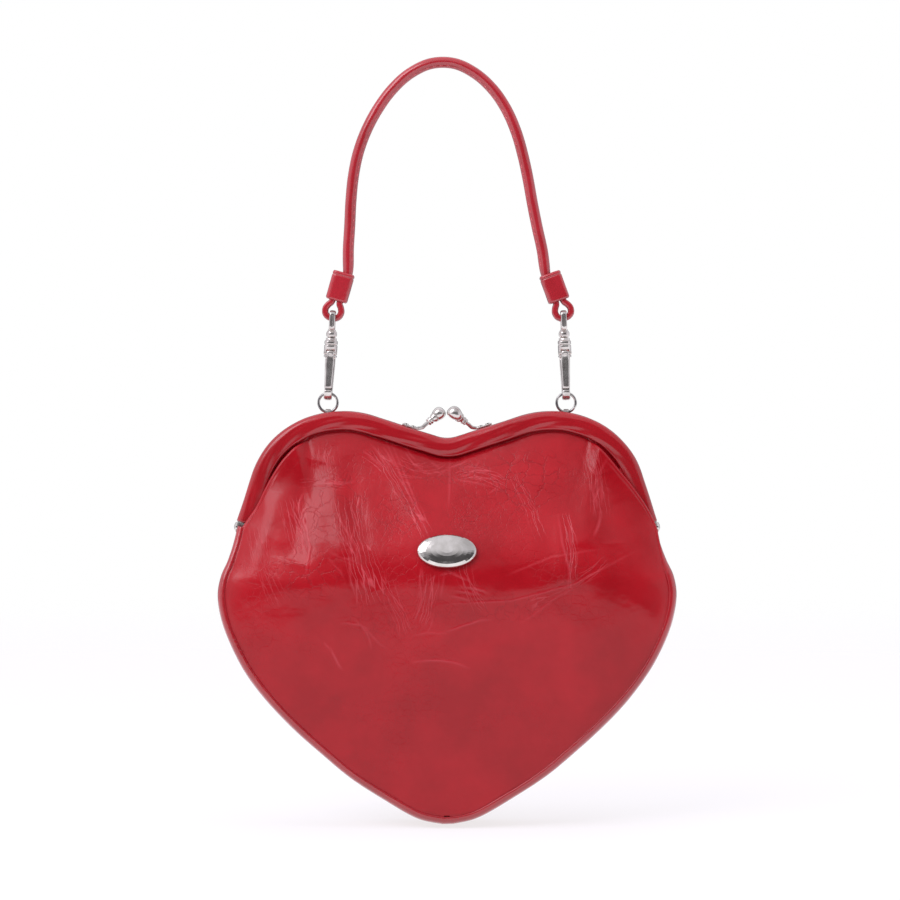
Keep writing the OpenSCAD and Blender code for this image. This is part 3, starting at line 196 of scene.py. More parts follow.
def panel_grid(cols, rows_up, rows_low):
    """Grid of [x, depth, z] in millimetres, rows from the frame down to the tip.

    Also returns the row at the hinge, and for each column the place in the frame's channel that its edge
    runs back to and how far its top has left the frame for the side fold."""
    right = frame_right()
    u = np.linspace(-1, 1, cols)
    tucked, top, channel = np.zeros((cols, 2)), np.zeros((cols, 2)), np.zeros((cols, 5))
    leave, edge_x = np.zeros(cols), {}
    for side in (-1, 1):
        fold = through(FOLD[side], np.linspace(0, 1, 80))
        # Two lines under the band, each split where the fold leaves the frame
        (deep_on, deep_past), (lip_on, lip_past) = [
            (line[line[:, 0] < fold[0, 0]], line[line[:, 0] >= fold[0, 0]])
            for line in (inward(right, BAND_H - TUCK), inward(right, BAND_H + LIP))]
        here = (u < 0) if side < 0 else (u >= 0)
        share = np.abs(u[here])
        size = [np.linalg.norm(np.diff(p, axis=0), axis=1).sum() for p in (lip_on, fold)]
        split = size[0] / sum(size)
        on_fold, on_frame = np.clip((share - split) / (1 - split), 0, 1), np.clip(share / split, 0, 1)
        folded = on_fold[:, None] > 0
        pts = np.where(folded, along(fold, on_fold), along(lip_on, on_frame))
        deep = np.where(folded, along(fold, on_fold), along(deep_on, on_frame))
        back, lip = along(deep_past, on_fold), along(lip_past, on_fold)
        flip = np.array([side, 1])
        top[here], tucked[here] = pts * flip, deep * flip
        ahead = np.hypot(*(pts - lip).T) * np.sign(pts[:, 0] - lip[:, 0])
        back, lip = np.where(folded, back, deep), np.where(folded, lip, deep)
        ahead = np.where(folded[:, 0], ahead, -9)
        channel[here] = np.stack([side * back[:, 0], back[:, 1], ahead, side * lip[:, 0], lip[:, 1]], 1)
        leave[here] = ease(on_fold / LEAVE_SHARE)
        edge_x[side] = fold[-1, 0]
    low_x = np.where(u < 0, edge_x[-1], edge_x[1]) * u
    ends = ease((np.abs(u) - 0.9) / 0.1)
    top_depth = TUCK_DEPTH + leave * (FOLD_DEPTH + ends * (seam_depth(0)[0] - FOLD_DEPTH) - TUCK_DEPTH)
    # Rows are even from the edge down; those of the frame part start with two rows inside the channel
    plain = np.concatenate([[0, 0], np.linspace(0, 1, rows_up)[:-1] ** 1.15])[:, None]
    v = plain + leave * (np.linspace(0, 1, rows_up + 2)[:-1, None] ** 1.15 - plain)
    in_channel = np.concatenate([[1, 0.5], np.zeros(rows_up - 1)])[:, None]
    x = top[:, 0] + (low_x - top[:, 0]) * v + in_channel * (tucked - top)[:, 0]
    z = top[:, 1] * (1 - v) + in_channel * (tucked - top)[:, 1]
    # Depths meet the lower part's at the hinge height, in place and in slope
    near = np.clip(u, -0.985, 0.985)
    low_depth = crown(np.zeros(1), u)[None, :]
    across = (crown(np.zeros(1), near + 0.005) - crown(np.zeros(1), near - 0.005)) / 0.01 / np.abs(edge_x[1])
    s = seam(np.array([0.0, 0.03]))
    same_x = near * s[0, 0] / s[1, 0]
    down = (crown(np.array([0.03]), same_x) - crown(np.array([0.0]), near)) / (s[0, 1] - s[1, 1])
    end_slope = down * top[:, 1] + across * (low_x - top[:, 0])
    even_slope = 2 * (low_depth - top_depth) - end_slope
    start_slope = np.maximum(even_slope * (1.5 - 0.45 * leave), 0.06 * top[:, 1])
    h = [2 * v**3 - 3 * v**2 + 1, v**3 - 2 * v**2 + v, -2 * v**3 + 3 * v**2, v**3 - v**2]
    depth = h[0] * top_depth + h[1] * start_slope + h[2] * low_depth + h[3] * end_slope
    t = np.linspace(0, 1, rows_low)
    s = seam(t)
    wide = s[:, :1] + ease((s[:, 1:] + SIDE_EASE_DROP) / SIDE_EASE_DROP) * (SIDE_EASE[-1], SIDE_EASE[1])
    lx = np.where(u[None, :] < 0, wide[:, :1], wide[:, 1:]) * u[None, :]
    lz = np.repeat(s[:, 1:2], cols, 1)
    ld = np.stack([crown(np.full(cols, k), u) for k in t])
    grid = np.concatenate([np.stack([x, depth, z], 2), np.stack([lx, ld, lz], 2)])
    return grid, rows_up + 1, channel, leave


def near_line(x, z, line, reach):
    """Distance from grid points to a drawn line, the share along it and the side, within reach of the line."""
    line = np.asarray(line, float)
    best = np.full(x.shape, 1e9)
    share = np.zeros(x.shape)
    side = np.zeros(x.shape)
    (low_x, low_z), (high_x, high_z) = line.min(axis=0) - reach, line.max(axis=0) + reach
    box = (x > low_x) & (x < high_x) & (z > low_z) & (z < high_z)
    px, pz = x[box], z[box]
    if not px.size:
        return best, share, side
    b, s, g = best[box], share[box], side[box]
    seg = np.linalg.norm(np.diff(line, axis=0), axis=1)
    run = run_along(line)
    for k in range(len(line) - 1):
        d = line[k + 1] - line[k]
        f = np.clip(((px - line[k, 0]) * d[0] + (pz - line[k, 1]) * d[1]) / max(seg[k] ** 2, 1e-9), 0, 1)
        ex, ez = px - line[k, 0] - f * d[0], pz - line[k, 1] - f * d[1]
        r = np.hypot(ex, ez)
        closer = r < b
        b = np.where(closer, r, b)
        s = np.where(closer, (run[k] + f * seg[k]) / run[-1], s)
        g = np.where(closer, np.sign(d[0] * ez - d[1] * ex), g)
    best[box], share[box], side[box] = b, s, g
    return best, share, side


# Soft folds of the front panel in millimetres: points, half-width and height
SOFT_FOLDS = [
    ([(-59, 30), (-62, 18), (-64, 4), (-68, -14)], 6.0, -2.0),
    ([(-49, 36), (-48, 20), (-47, 4), (-45, -12)], 5.2, 0.85),
    ([(-44, 32), (-41, 12), (-36, -8), (-30, -26)], 4.6, -0.5),
    ([(-27, 36), (-20, 20), (-12, 4), (-6, -6)], 5.0, 0.6),
    ([(-76, 16), (-79, 4), (-83, -8), (-86, -24)], 4.5, 0.9),
    ([(58, 34), (61, 20), (62, 6), (60, -8)], 5.0, 0.75),
    ([(69, 24), (73, 10), (74, -6)], 4.5, -0.8),
    ([(48, 6), (50, -8), (51, -24)], 3.2, 0.7),
    ([(30, 30), (40, 22), (55, 16)], 5.0, 0.5),
    ([(10, -34), (40, -26), (70, -14)], 6.0, 0.45),
]


def crease_set(seed, groups, width):
    """Fine creases: each group is (middle, spread, heading, swing, count, length) in millimetres and degrees."""
    rng = np.random.default_rng(seed)
    out = []
    for mid, spread, heading, swing, count, length in groups:
        for _ in range(count):
            p = np.array(mid) + rng.normal(0, 0.45, 2) * spread
            a = math.radians(heading + rng.normal(0, swing))
            size = length * rng.uniform(0.35, 1.2)
            bend = rng.normal(0, 0.035)
            line = [p - 0.5 * size * np.array([math.cos(a), math.sin(a)])]
            steps = max(4, int(size / 1.6))
            for k in range(steps):
                a += bend + rng.normal(0, 0.10)
                line.append(line[-1] + size / steps * np.array([math.cos(a), math.sin(a)]))
            out.append((line, width * rng.uniform(0.8, 1.5), rng.uniform(0.4, 1.0)))
            if rng.random() < 0.35:
                k = rng.integers(1, len(line) - 1)
                a2 = a + rng.choice([-1, 1]) * rng.uniform(0.35, 0.8)
                fork = [line[k]]
                for _ in range(5):
                    a2 += rng.normal(0, 0.12)
                    fork.append(fork[-1] + size / 11 * np.array([math.cos(a2), math.sin(a2)]))
                out.append((fork, width, rng.uniform(0.35, 0.7)))
    return out


def press_creases(x, z, creases, height):
    """Height of a set of creases over grid points, and the pale tone of painted highlight and wear on their
    ridges.
    """
    rise, tone = np.zeros(x.shape), np.zeros(x.shape)
    for line, width, strength in creases:
        r, share, side = near_line(x, z, line, 4 * width)
        fade = np.sin(np.pi * np.clip(share, 0.02, 0.98)) ** 0.6 * strength
        ridge = np.exp(-((r / width) ** 2))
        valley = np.exp(-(((r * side - 1.9 * width) / width) ** 2))
        rise += height * fade * (ridge - 0.8 * valley) * (r < 4 * width)
        tone = np.maximum(tone, fade * ridge)
    return rise, tone


CREASE_GAP, CREASE_RUN = 1.7, 24  # between the creases of a bundle, and how long one runs


def crease_maps(x, z, bundles, nets):
    """Where bundles of fine creases run, as strength and a map of [across, along] in cells; the net's strength."""
    strength, place = np.zeros(x.shape), np.zeros(x.shape + (3,))
    for number, (line, half, most) in enumerate(bundles):
        line = through(line, np.linspace(0, 1, 12))
        r, share, side = near_line(x, z, line, 1.6 * half)
        length = np.linalg.norm(np.diff(line, axis=0), axis=1).sum()
        here = most * np.exp(-((r / half) ** 4)) * ease(np.sin(np.pi * np.clip(share, 0, 1)) * 2.2)
        better = here > strength
        strength = np.where(better, here, strength)
        spread = 1 + 0.45 * np.abs(share - 0.5)
        cells = np.stack([r * side / (CREASE_GAP * spread), share * length / CREASE_RUN,
                          np.full(x.shape, 7.3 * number)], -1)
        place = np.where(better[..., None], cells, place)
    net = np.zeros(x.shape)
    for mid, reach, most in nets:
        q = np.hypot((x - mid[0]) / reach[0], (z - mid[1]) / reach[1])
        net = np.maximum(net, most * ease(1.5 * (1 - q)))
    return strength, place, net


def cloud(x, z, seed, size):
    """Smooth random hills between -1 and 1, about size millimetres across."""
    rng = np.random.default_rng(seed)
    out = np.zeros(x.shape)
    for _ in range(9):
        a, k = rng.uniform(0, 2 * math.pi), 2 * math.pi / (size * rng.uniform(0.7, 1.6))
        out += np.sin(k * (x * math.cos(a) + z * math.sin(a)) + rng.uniform(0, 6.28))
    return out / 5


FRONT_CREASES = crease_set(11, [
    ((-54, 20), (9, 2.5), 4, 16, 5, 11), ((-63, 4), (4, 9), 96, 12, 6, 17), ((-42, -10), (6, 14), 112, 9, 9, 20),
    ((-38, -22), (7, 7), 122, 14, 5, 12), ((-26, 31), (9, 5), 128, 22, 6, 11), ((-10, 27), (9, 5), 160, 24, 8, 9),
    ((8, 27), (8, 4), 20, 24, 6, 9), ((22, 20), (12, 5), 18, 20, 5, 13), ((65, 12), (3.5, 16), 88, 7, 7, 15),
    ((-10, -24), (8, 7), 80, 22, 5, 9), ((10, -26), (12, 8), 130, 26, 5, 11), ((20, -42), (40, 12), 12, 12, 4, 30),
    ((-40, -44), (20, 12), 140, 24, 4, 16),
], 0.36)
# The long creases that the eye goes to first
FRONT_CREASES += [
    ([(-27, 38), (-22, 27), (-17.5, 17), (-13, 7), (-9, -2)], 0.42, 1.0),
    ([(-24.5, 37), (-19, 25), (-15, 15), (-11, 5), (-7.5, -4)], 0.42, 0.8),
    ([(1.2, 31), (1.2, 20), (0.9, 9.5)], 0.4, 0.8),
    ([(49, 6), (50.5, -6), (53.5, -18), (53, -26)], 0.45, 1.0), ([(53.5, 5), (54.3, -8), (55, -22)], 0.42, 0.8),
    ([(-4, -32.5), (28, -31), (55, -24), (82, -10.5)], 0.45, 0.6), ([(26, -20), (46, -12), (66, -9)], 0.42, 0.5),
    ([(-66, 12), (-62, 1), (-60, -8), (-62, -22)], 0.45, 0.9), ([(-69, 8), (-64, -2), (-62, -14)], 0.42, 0.7),
    ([(-56, 20), (-47, 19.5), (-41, 20.5)], 0.42, 0.9), ([(-12, -20), (-11, -30), (-14, -40)], 0.4, 0.7),
]
# Bundles of hair-fine creases: middle line, half-width and strength
FRONT_BUNDLES = [
    ([(-55, 42), (-55.5, 30), (-54, 18)], 5, 0.8), ([(-70, 14), (-67, 2), (-63, -12)], 4.5, 0.8),
    ([(-44, 16), (-42, 2), (-38, -12), (-31, -34)], 7, 1.0), ([(-34, 38), (-19, 15), (-8, -4)], 3.2, 0.9),
    ([(-38, 34), (-27, 26), (-14, 22)], 3.5, 0.6), ([(-22, 30), (-10, 26), (0, 29)], 3.8, 0.8),
    ([(3, 22), (14, 24), (27, 19)], 3.6, 0.9), ([(52, 8), (54.5, -8), (54, -28)], 2.4, 0.9),
    ([(62, 42), (65.5, 24), (68, 4)], 4.5, 0.9), ([(-66, 20), (-56, 20), (-44, 19)], 2.2, 0.8),
    ([(-28, -22), (-21, -36), (-17, -46)], 4, 0.5), ([(-8, -18), (-8, -28), (-12, -42)], 4, 0.6),
    ([(6, -14), (10, -26), (16, -36)], 3.5, 0.6), ([(28, 26), (38, 6), (42, -6)], 3, 0.4),
    ([(72, -12), (58, -22), (34, -34)], 3, 0.4), ([(-84, 2), (-80, -18), (-72, -34)], 5, 0.35),
]
# Patches of the cracked net: middle, reach each way and strength
FRONT_NETS = [
    ((-50, 8), (22, 24), 0.9), ((34, 22), (30, 22), 0.8), ((-2, 27), (30, 11), 0.9), ((-20, 8), (18, 16), 0.6),
    ((22, -34), (46, 10), 0.5), ((62, -16), (26, 14), 0.45), ((-60, -18), (24, 18), 0.6),
    ((62, 24), (16, 22), 0.6), ((-30, -38), (26, 16), 0.4), ((10, 6), (16, 16), 0.5),
]
BACK_CREASES = crease_set(29, [
    ((-58, 20), (7, 14), 92, 12, 8, 17), ((-36, 6), (12, 16), 70, 24, 6, 16), ((0, 26), (14, 5), 8, 26, 8, 9),
    ((24, 14), (12, 14), 110, 20, 6, 17), ((58, 16), (6, 14), 86, 10, 8, 17),
    ((-46, -28), (20, 14), 130, 24, 4, 18),
], 0.4)
# The back is worn like the front the other way round, a little less
BACK_BUNDLES = [([(x * -0.93, z - 2) for x, z in line], half * 1.1, most * 0.9)
                for line, half, most in FRONT_BUNDLES[:12]]
BACK_NETS = [((x * -0.9, z), reach, most * 0.9) for (x, z), reach, most in FRONT_NETS[:8]]


def linear(hex_colour):
    """sRGB hex to linear light, as shader sockets want it."""
    parts = [int(hex_colour[k:k + 2], 16) / 255 for k in (1, 3, 5)]
    return tuple(c / 12.92 if c <= 0.04045 else ((c + 0.055) / 1.055) ** 2.4 for c in parts) + (1.0,)


def add(tree, kind, settings=None, **sockets):
    """Adds a shader node: settings are its own properties; a socket gets a value, or a link from an output."""
    node = tree.nodes.new(kind)
    for key, value in (settings or {}).items():
        if key == "stops":
            ramp = node.color_ramp
            while len(ramp.elements) < len(value):
                ramp.elements.new(0.5)
            for stop, (at, colour) in zip(ramp.elements, value):
                stop.position, stop.color = at, colour
        else:
            setattr(node, key, value)
    for key, value in sockets.items():
        name = int(key[1:]) if key[0] == "i" and key[1:].isdigit() else key.replace("_", " ")
        if isinstance(value, bpy.types.NodeSocket):
            tree.links.new(value, node.inputs[name])
        else:
            node.inputs[name].default_value = value
    return node


def new_material(name):
    mat = bpy.data.materials.new(name)
    mat.use_nodes = True
    mat.node_tree.nodes.clear()
    return mat, mat.node_tree


def finish_material(tree, shader, bump=None):
    if bump is not None:
        tree.links.new(bump, shader.inputs["Normal"])
    out = tree.nodes.new("ShaderNodeOutputMaterial")
    tree.links.new(shader.outputs[0], out.inputs[0])


# Glazed calf leather: a dyed red body, cloudy over about 30 mm, under a thick clear finish. It gives deep red
# with wide soft reflections, a slight ripple of the hide and hair-fine creases. Pale highlight is painted on
# the creases, on crease ridges with some wear, and on turned edges and seam rims; cracks get painted shade.
def glazed_calf(name, deep, pale, ripple=1.0, net=1.0, creased=False, gloss=1.40):
    mat, tree = new_material(name)
    place = add(tree, "ShaderNodeTexCoord").outputs["Object"]
    crease = add(tree, "ShaderNodeAttribute", {"attribute_name": "crease"}).outputs["Fac"]
    smooth_step, edges = {"interpolation_type": "SMOOTHSTEP"}, {"feature": "DISTANCE_TO_EDGE"}
    multiply, multiply_add = {"operation": "MULTIPLY"}, {"operation": "MULTIPLY_ADD"}
    shade = add(tree, "ShaderNodeTexNoise", None, Vector=place, Scale=34.0, Detail=4.0, Roughness=0.6)
    body = add(tree, "ShaderNodeValToRGB", {"stops": [(0.34, linear(deep)), (0.66, linear(pale))]},
               Fac=shade.outputs["Fac"])
    # Paler where the crease map is set: painted highlight on crease ridges, turned edges and seam rims
    skin_colour = add(tree, "ShaderNodeMix", {"data_type": "RGBA"}, i0=crease, i6=body.outputs["Color"],
                      i7=linear("#d2525e")).outputs[2]
    # Ripple of the hide, about 9 mm and 2.4 mm across
    wide = add(tree, "ShaderNodeTexNoise", None, Vector=place, Scale=110.0, Detail=2.0, Roughness=0.5)
    grain = add(tree, "ShaderNodeTexNoise", None, Vector=place, Scale=420.0, Detail=3.0, Roughness=0.6)
    # Hair-fine crackle in cells of about 4 mm, only in patches
    bent = add(tree, "ShaderNodeVectorMath", multiply_add, i0=grain.outputs["Color"], i1=(0.0022,) * 3, i2=place)
    cells = add(tree, "ShaderNodeTexVoronoi", edges, Vector=bent.outputs[0], Scale=250.0)
    line = add(tree, "ShaderNodeMapRange", smooth_step, Value=cells.outputs["Distance"], i1=0.0, i2=0.06, i3=1.0,
               i4=0.0)
    patch = add(tree, "ShaderNodeTexNoise", None, Vector=place, Scale=30.0, Detail=1.0)
    where = add(tree, "ShaderNodeMapRange", smooth_step, Value=patch.outputs["Fac"], i1=0.5, i2=0.66, i3=0.0,
                i4=1.0)
    crackle = add(tree, "ShaderNodeMath", multiply, i0=line.outputs[0], i1=where.outputs[0])
    first = add(tree, "ShaderNodeBump", None, Height=wide.outputs["Fac"], Distance=0.0005 * ripple, Strength=0.6)
    second = add(tree, "ShaderNodeBump", None, Height=grain.outputs["Fac"], Distance=0.00006 * ripple,
                 Strength=0.6, Normal=first.outputs[0])
    face = add(tree, "ShaderNodeBump", {"invert": True}, Height=crackle.outputs[0], Distance=0.00006 * net,
               Strength=0.7, Normal=second.outputs[0]).outputs[0]
    if creased:
        # The panels carry three painted maps: where bundles of creases run, how they lie, and where the net is
        bundle, net_here = [add(tree, "ShaderNodeAttribute", {"attribute_name": key}).outputs["Fac"]
                            for key in ("bundle", "net")]
        lie = add(tree, "ShaderNodeAttribute", {"attribute_name": "bundle_map"}).outputs["Vector"]
        sway = add(tree, "ShaderNodeVectorMath", multiply_add, i0=wide.outputs["Color"], i1=(1.5, 0.25, 0.0),
                   i2=lie)
        tremble = add(tree, "ShaderNodeVectorMath", multiply_add, i0=grain.outputs["Color"], i1=(0.35, 0.03, 0.0),
                      i2=sway.outputs[0]).outputs[0]
        wander = add(tree, "ShaderNodeVectorMath", multiply_add, i0=wide.outputs["Color"], i1=(0.011,) * 3,
                     i2=bent.outputs[0]).outputs[0]
        fades = add(tree, "ShaderNodeMapRange", smooth_step, Value=shade.outputs["Fac"], i1=0.36, i2=0.54, i3=0.45,
                    i4=1.0).outputs[0]
        # Edges of cells: creases about 1.7 mm apart in a bundle, cracks in cells of 6 mm, small ones of 2.5 mm
        drawn = []
        for vector, dimensions, scale, width, painted, faint in (
                (tremble, "2D", 1.0, 0.09, bundle, fades), (wander, "3D", 165.0, 0.05, net_here, fades),
                (wander, "3D", 390.0, 0.05, net_here, where.outputs[0])):
            cells = add(tree, "ShaderNodeTexVoronoi", {**edges, "voronoi_dimensions": dimensions}, Vector=vector,
                        Scale=scale)
            edge = add(tree, "ShaderNodeMapRange", smooth_step, Value=cells.outputs["Distance"], i1=0.15 * width,
                       i2=width, i3=1.0, i4=0.0)
            there = add(tree, "ShaderNodeMath", multiply, i0=edge.outputs[0], i1=painted)
            drawn.append(add(tree, "ShaderNodeMath", multiply, i0=there.outputs[0], i1=faint).outputs[0])
        hair, cracks, small = drawn
        # The crease bundles' lines are painted pale: a painted highlight along each crease
        painted_crease_highlight = add(tree, "ShaderNodeMath", multiply, i0=hair, i1=0.42)
        skin_colour = add(tree, "ShaderNodeMix", {"data_type": "RGBA"}, i0=painted_crease_highlight.outputs[0], i6=skin_colour,
                          i7=linear("#d8606a")).outputs[2]
        # The cracks are painted darker: painted shade in the cracks
        half_cracks = add(tree, "ShaderNodeMath", multiply, i0=cracks, i1=0.5)
        painted_crack_shade = add(tree, "ShaderNodeMath", {**multiply_add, "use_clamp": True}, i0=small, i1=0.35,
                         i2=half_cracks.outputs[0]).outputs[0]
        skin_colour = add(tree, "ShaderNodeMix", {"data_type": "RGBA"}, i0=painted_crack_shade, i6=skin_colour,
                          i7=linear("#6e0a14")).outputs[2]
        face = add(tree, "ShaderNodeBump", None, Height=hair, Distance=0.00016, Strength=0.8,
                   Normal=face).outputs[0]
        face = add(tree, "ShaderNodeBump", {"invert": True}, Height=painted_crack_shade, Distance=0.00018, Strength=0.8,
                   Normal=face).outputs[0]
    rough = add(tree, "ShaderNodeMapRange", None, Value=shade.outputs["Fac"], i1=0.3, i2=0.7, i3=0.40, i4=0.52)
    skin = add(tree, "ShaderNodeBsdfPrincipled", None, Base_Color=skin_colour, Roughness=rough.outputs[0],
               Coat_Weight=1.0, Coat_Roughness=0.17, Coat_IOR=gloss, IOR=1.48, Specular_IOR_Level=0.05)
    tree.links.new(face, skin.inputs["Coat Normal"])
    finish_material(tree, skin, face)
    return mat


panel_leather = glazed_calf("glazed_calf_panels", "#900814", "#a20e1b", creased=True)


def build(name, points, faces, material, body=None, slot="red_leather", tone=None, close=False, paint=None):
    """A mesh from points [x, depth, z], riding on a body; tone, a pale tone of painted highlight, and paint are
    maps on its points.
    """
    pts = np.asarray(points, float).reshape(-1, 3)
    mesh = bpy.data.meshes.new(name)
    co = np.stack([pts[:, 0] * MM, -pts[:, 1] * MM, HINGE_Z + pts[:, 2] * MM], 1)
    mesh.from_pydata(co.tolist(), [], [tuple(int(i) for i in f) for f in faces])
    mesh.validate()
    if close:
        work = bmesh.new()
        work.from_mesh(mesh)
        bmesh.ops.remove_doubles(work, verts=work.verts, dist=1e-6)
        bmesh.ops.recalc_face_normals(work, faces=work.faces)
        work.to_mesh(mesh)
        work.free()
    for key, values in {**({} if tone is None else {"crease": np.ravel(tone)}), **(paint or {})}.items():
        flat = np.asarray(values, np.float32)
        kind, field = ("FLOAT_VECTOR", "vector") if flat.ndim == 2 else ("FLOAT", "value")
        mesh.attributes.new(key, kind, "POINT").data.foreach_set(field, flat.ravel())
    mesh.polygons.foreach_set("use_smooth", [True] * len(mesh.polygons))
    mesh.materials.append(material)
    obj = bpy.data.objects.new(name, mesh)
    bpy.context.scene.collection.objects.link(obj)
    if body:
        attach(obj, body)
    return obj


def grid_faces(rows, cols, turned=False):
    r, c = np.meshgrid(np.arange(rows - 1), np.arange(cols - 1), indexing="ij")
    a = (r * cols + c).ravel()
    quads = np.stack([a, a + 1, a + cols + 1, a + cols], 1)
    return quads[:, ::-1] if turned else quads


# The pouch is fullest at its shoulders, under the hinges: where that is, its reach each way, and its height
SHOULDER_X, SHOULDER_Z, SHOULDER_W, SHOULDER_H, SHOULDER_RISE = 66, 6, 20, 17, 2.2
HILLS = ((0.30, 38), (0.10, 15))  # unevenness of the hide: height and how far across
CREASE_HEIGHT, CREASE_HIGHLIGHT = 0.13, 0.28  # how high a crease stands, and how pale its ridge is painted, as highlight and wear


def panel(name, front, creases, bundles, nets, soft, seed, cols, rows_up, rows_low):
    """One panel: its grid, folds and creases, its rolled edge, and the part that runs back into the channel."""
    grid, hinge_row, channel, leave = panel_grid(cols, rows_up, rows_low)
    x, depth, z = grid[..., 0], grid[..., 1].copy(), grid[..., 2]
    away = ease((depth - 6.0) / 4)
    away[:hinge_row] *= 1 - 0.8 * leave * (1 - ease((np.arange(hinge_row)[:, None] - 1) / 9))
    shoulder = np.exp(-(((np.abs(x) - SHOULDER_X) / SHOULDER_W) ** 2) - ((z - SHOULDER_Z) / SHOULDER_H) ** 2)
    depth += SHOULDER_RISE * away * shoulder * (1 - np.clip(np.abs(x) / POUCH_HALF_W, 0, 1) ** 8)
    for line, width, height in soft:
        r, share, _ = near_line(x, z, line, 3.2 * width)
        bow = np.sin(np.pi * np.clip(share, 0, 1)) ** 0.5
        depth += height * away * bow * np.exp(-((r / width) ** 2)) * (r < 3.2 * width)
    depth += away * sum(high * cloud(x, z, seed + k, size) for k, (high, size) in enumerate(HILLS))
    rise, tone = press_creases(x, z, creases, CREASE_HEIGHT)
    depth += away * rise
    grid = np.stack([x, depth, z], 2)
    # Edge: up the left side, along the top, down the right side
    rows = grid.shape[0]
    ids = np.arange(rows * cols).reshape(rows, cols)
    side_rows = rows - hinge_row
    edge = np.concatenate([ids[:hinge_row - 1:-1, 0], ids[0, 1:-1], ids[hinge_row:, -1]])
    flat = grid.reshape(-1, 3)
    p = flat[edge]
    d = np.gradient(p[:, (0, 2)], axis=0)
    for _ in range(6):
        d[1:-1] = (d[:-2] + d[1:-1] + d[2:]) / 3
    d /= np.maximum(np.linalg.norm(d, axis=1), 1e-9)[:, None]
    n = np.stack([-d[:, 1], d[:, 0]], 1)
    gone = np.concatenate([np.ones(side_rows), leave[1:-1], np.ones(side_rows)])
    on_top = np.concatenate([np.zeros(side_rows), np.ones(cols - 2), np.zeros(side_rows)])
    radius = 0.3 + 0.8 * gone
    # Crease ridges get a pale tone: painted highlight, with some wear
    strip, points, tones, count = [edge], [flat], [tone.ravel() * CREASE_HIGHLIGHT], len(flat)
    strength, place, net = crease_maps(x, z, bundles, nets)

    def next_row(px, depth_here, pz, rim_highlight):
        nonlocal count
        points.append(np.stack([px, depth_here, pz], 1))
        tones.append(np.full(len(edge), rim_highlight) * gone)
        strip.append(count + np.arange(len(edge)))
        count += len(edge)

    # The outer half of the roll gets a pale tone: a painted highlight along the turned edge
    for turn in (20, 40, 60, 80, 100, 125, 150, 180):
        a = math.radians(turn)
        next_row(p[:, 0] + n[:, 0] * radius * math.sin(a), p[:, 1] - radius * (1 - math.cos(a)),
                 p[:, 2] + n[:, 1] * radius * math.sin(a), 0.08 if turn < 90 else 0.0)
    # Behind the roll the leather runs back: at the folds into the channel, at the seams as the turned-in edge
    turn_in, lip_in, band_front = 3.6, 1.2, 7.9
    under = p[:, 1] - 2 * radius
    goal, lip = p[:, (0, 2)] - turn_in * n, p[:, (0, 2)] - lip_in * n
    back = np.concatenate([goal[:side_rows], channel[1:-1, :2], goal[-side_rows:]])
    over = np.concatenate([np.zeros(side_rows), ease(channel[1:-1, 2] / 3 + 0.5), np.zeros(side_rows)])
    mouth = np.concatenate([lip[:side_rows], channel[1:-1, 3:5], lip[-side_rows:]])
    low = np.minimum(under, band_front - 0.6 * (1 - over))
    first = (p[:, (0, 2)] - 1.0 * n) * (1 - over[:, None]) + mouth * over[:, None]
    for share, drop in ((0.12, 0.08), (0.45, 0.55), (0.8, 0.95), (1.0, 1.0)):
        free = first + (back - first) * share
        seam_part = p[:, (0, 2)] - turn_in * share * n
        here = seam_part + (free - seam_part) * on_top[:, None]
        next_row(here[:, 0], under + on_top * (low + (TUCK_DEPTH - low) * drop - under), here[:, 1], 0.0)
    strip = np.array(strip)
    faces = [grid_faces(rows, cols, turned=True)]
    a, b = strip[:-1, :-1].ravel(), strip[:-1, 1:].ravel()
    c, e = strip[1:, 1:].ravel(), strip[1:, :-1].ravel()
    faces.append(np.stack([a, e, c, b], 1)[:, ::-1])
    pts = np.concatenate(points)
    faces = np.concatenate(faces)
    if not front:
        pts[:, 1] *= -1
        faces = faces[:, ::-1]
    blank = np.zeros(len(pts) - len(flat))
    paint = {key: np.concatenate([(values * away).ravel(), blank])
             for key, values in (("bundle", strength), ("net", net))}
    paint["bundle_map"] = np.concatenate([place.reshape(-1, 3), np.zeros((len(blank), 3))])
    return build(name, pts, faces, panel_leather, tone=np.concatenate(tones), paint=paint)


front_sheet = panel("front_panel_sheet", True, FRONT_CREASES, FRONT_BUNDLES, FRONT_NETS, SOFT_FOLDS, 5,
                    *((481, 110, 290) if fine else (241, 60, 160)))
BACK_FOLDS = [([(x * 0.94, z - 3) for x, z in line], w * 1.15, h * 0.85) for line, w, h in SOFT_FOLDS[::-1][:8]]
back_sheet = panel("back_panel_sheet", False, BACK_CREASES, BACK_BUNDLES, BACK_NETS, BACK_FOLDS, 17,
                   *((241, 60, 170) if fine else (181, 44, 120)))
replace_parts(front_sheet, "front_panel_upper", "front_panel_lower")
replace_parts(back_sheet, "back_panel_upper", "back_panel_lower")


def at(x, depth, z):
    """A place in metres from millimetres off the hinge axis, the depth towards the front."""
    return (x * MM, -depth * MM, HINGE_Z + z * MM)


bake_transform(front_sheet)
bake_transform(back_sheet)

# ---------------------------------------------------------------- gusset
# A strip of the same leather between the two panels, sewn edge to edge with the seams turned inside. It
# stands out as a narrow rim round the front panel, and slackens into small pleats near the hinges.
gusset_leather = glazed_calf("glazed_calf_gusset", "#900c18", "#a0141f", ripple=1.2, gloss=1.8)
# Depth below the hinges in which it is slack, and how far its edges stand out and in at the seams
SLACK_DROP, SEAM_UP, SEAM_IN = 46, 0.45, 0.55


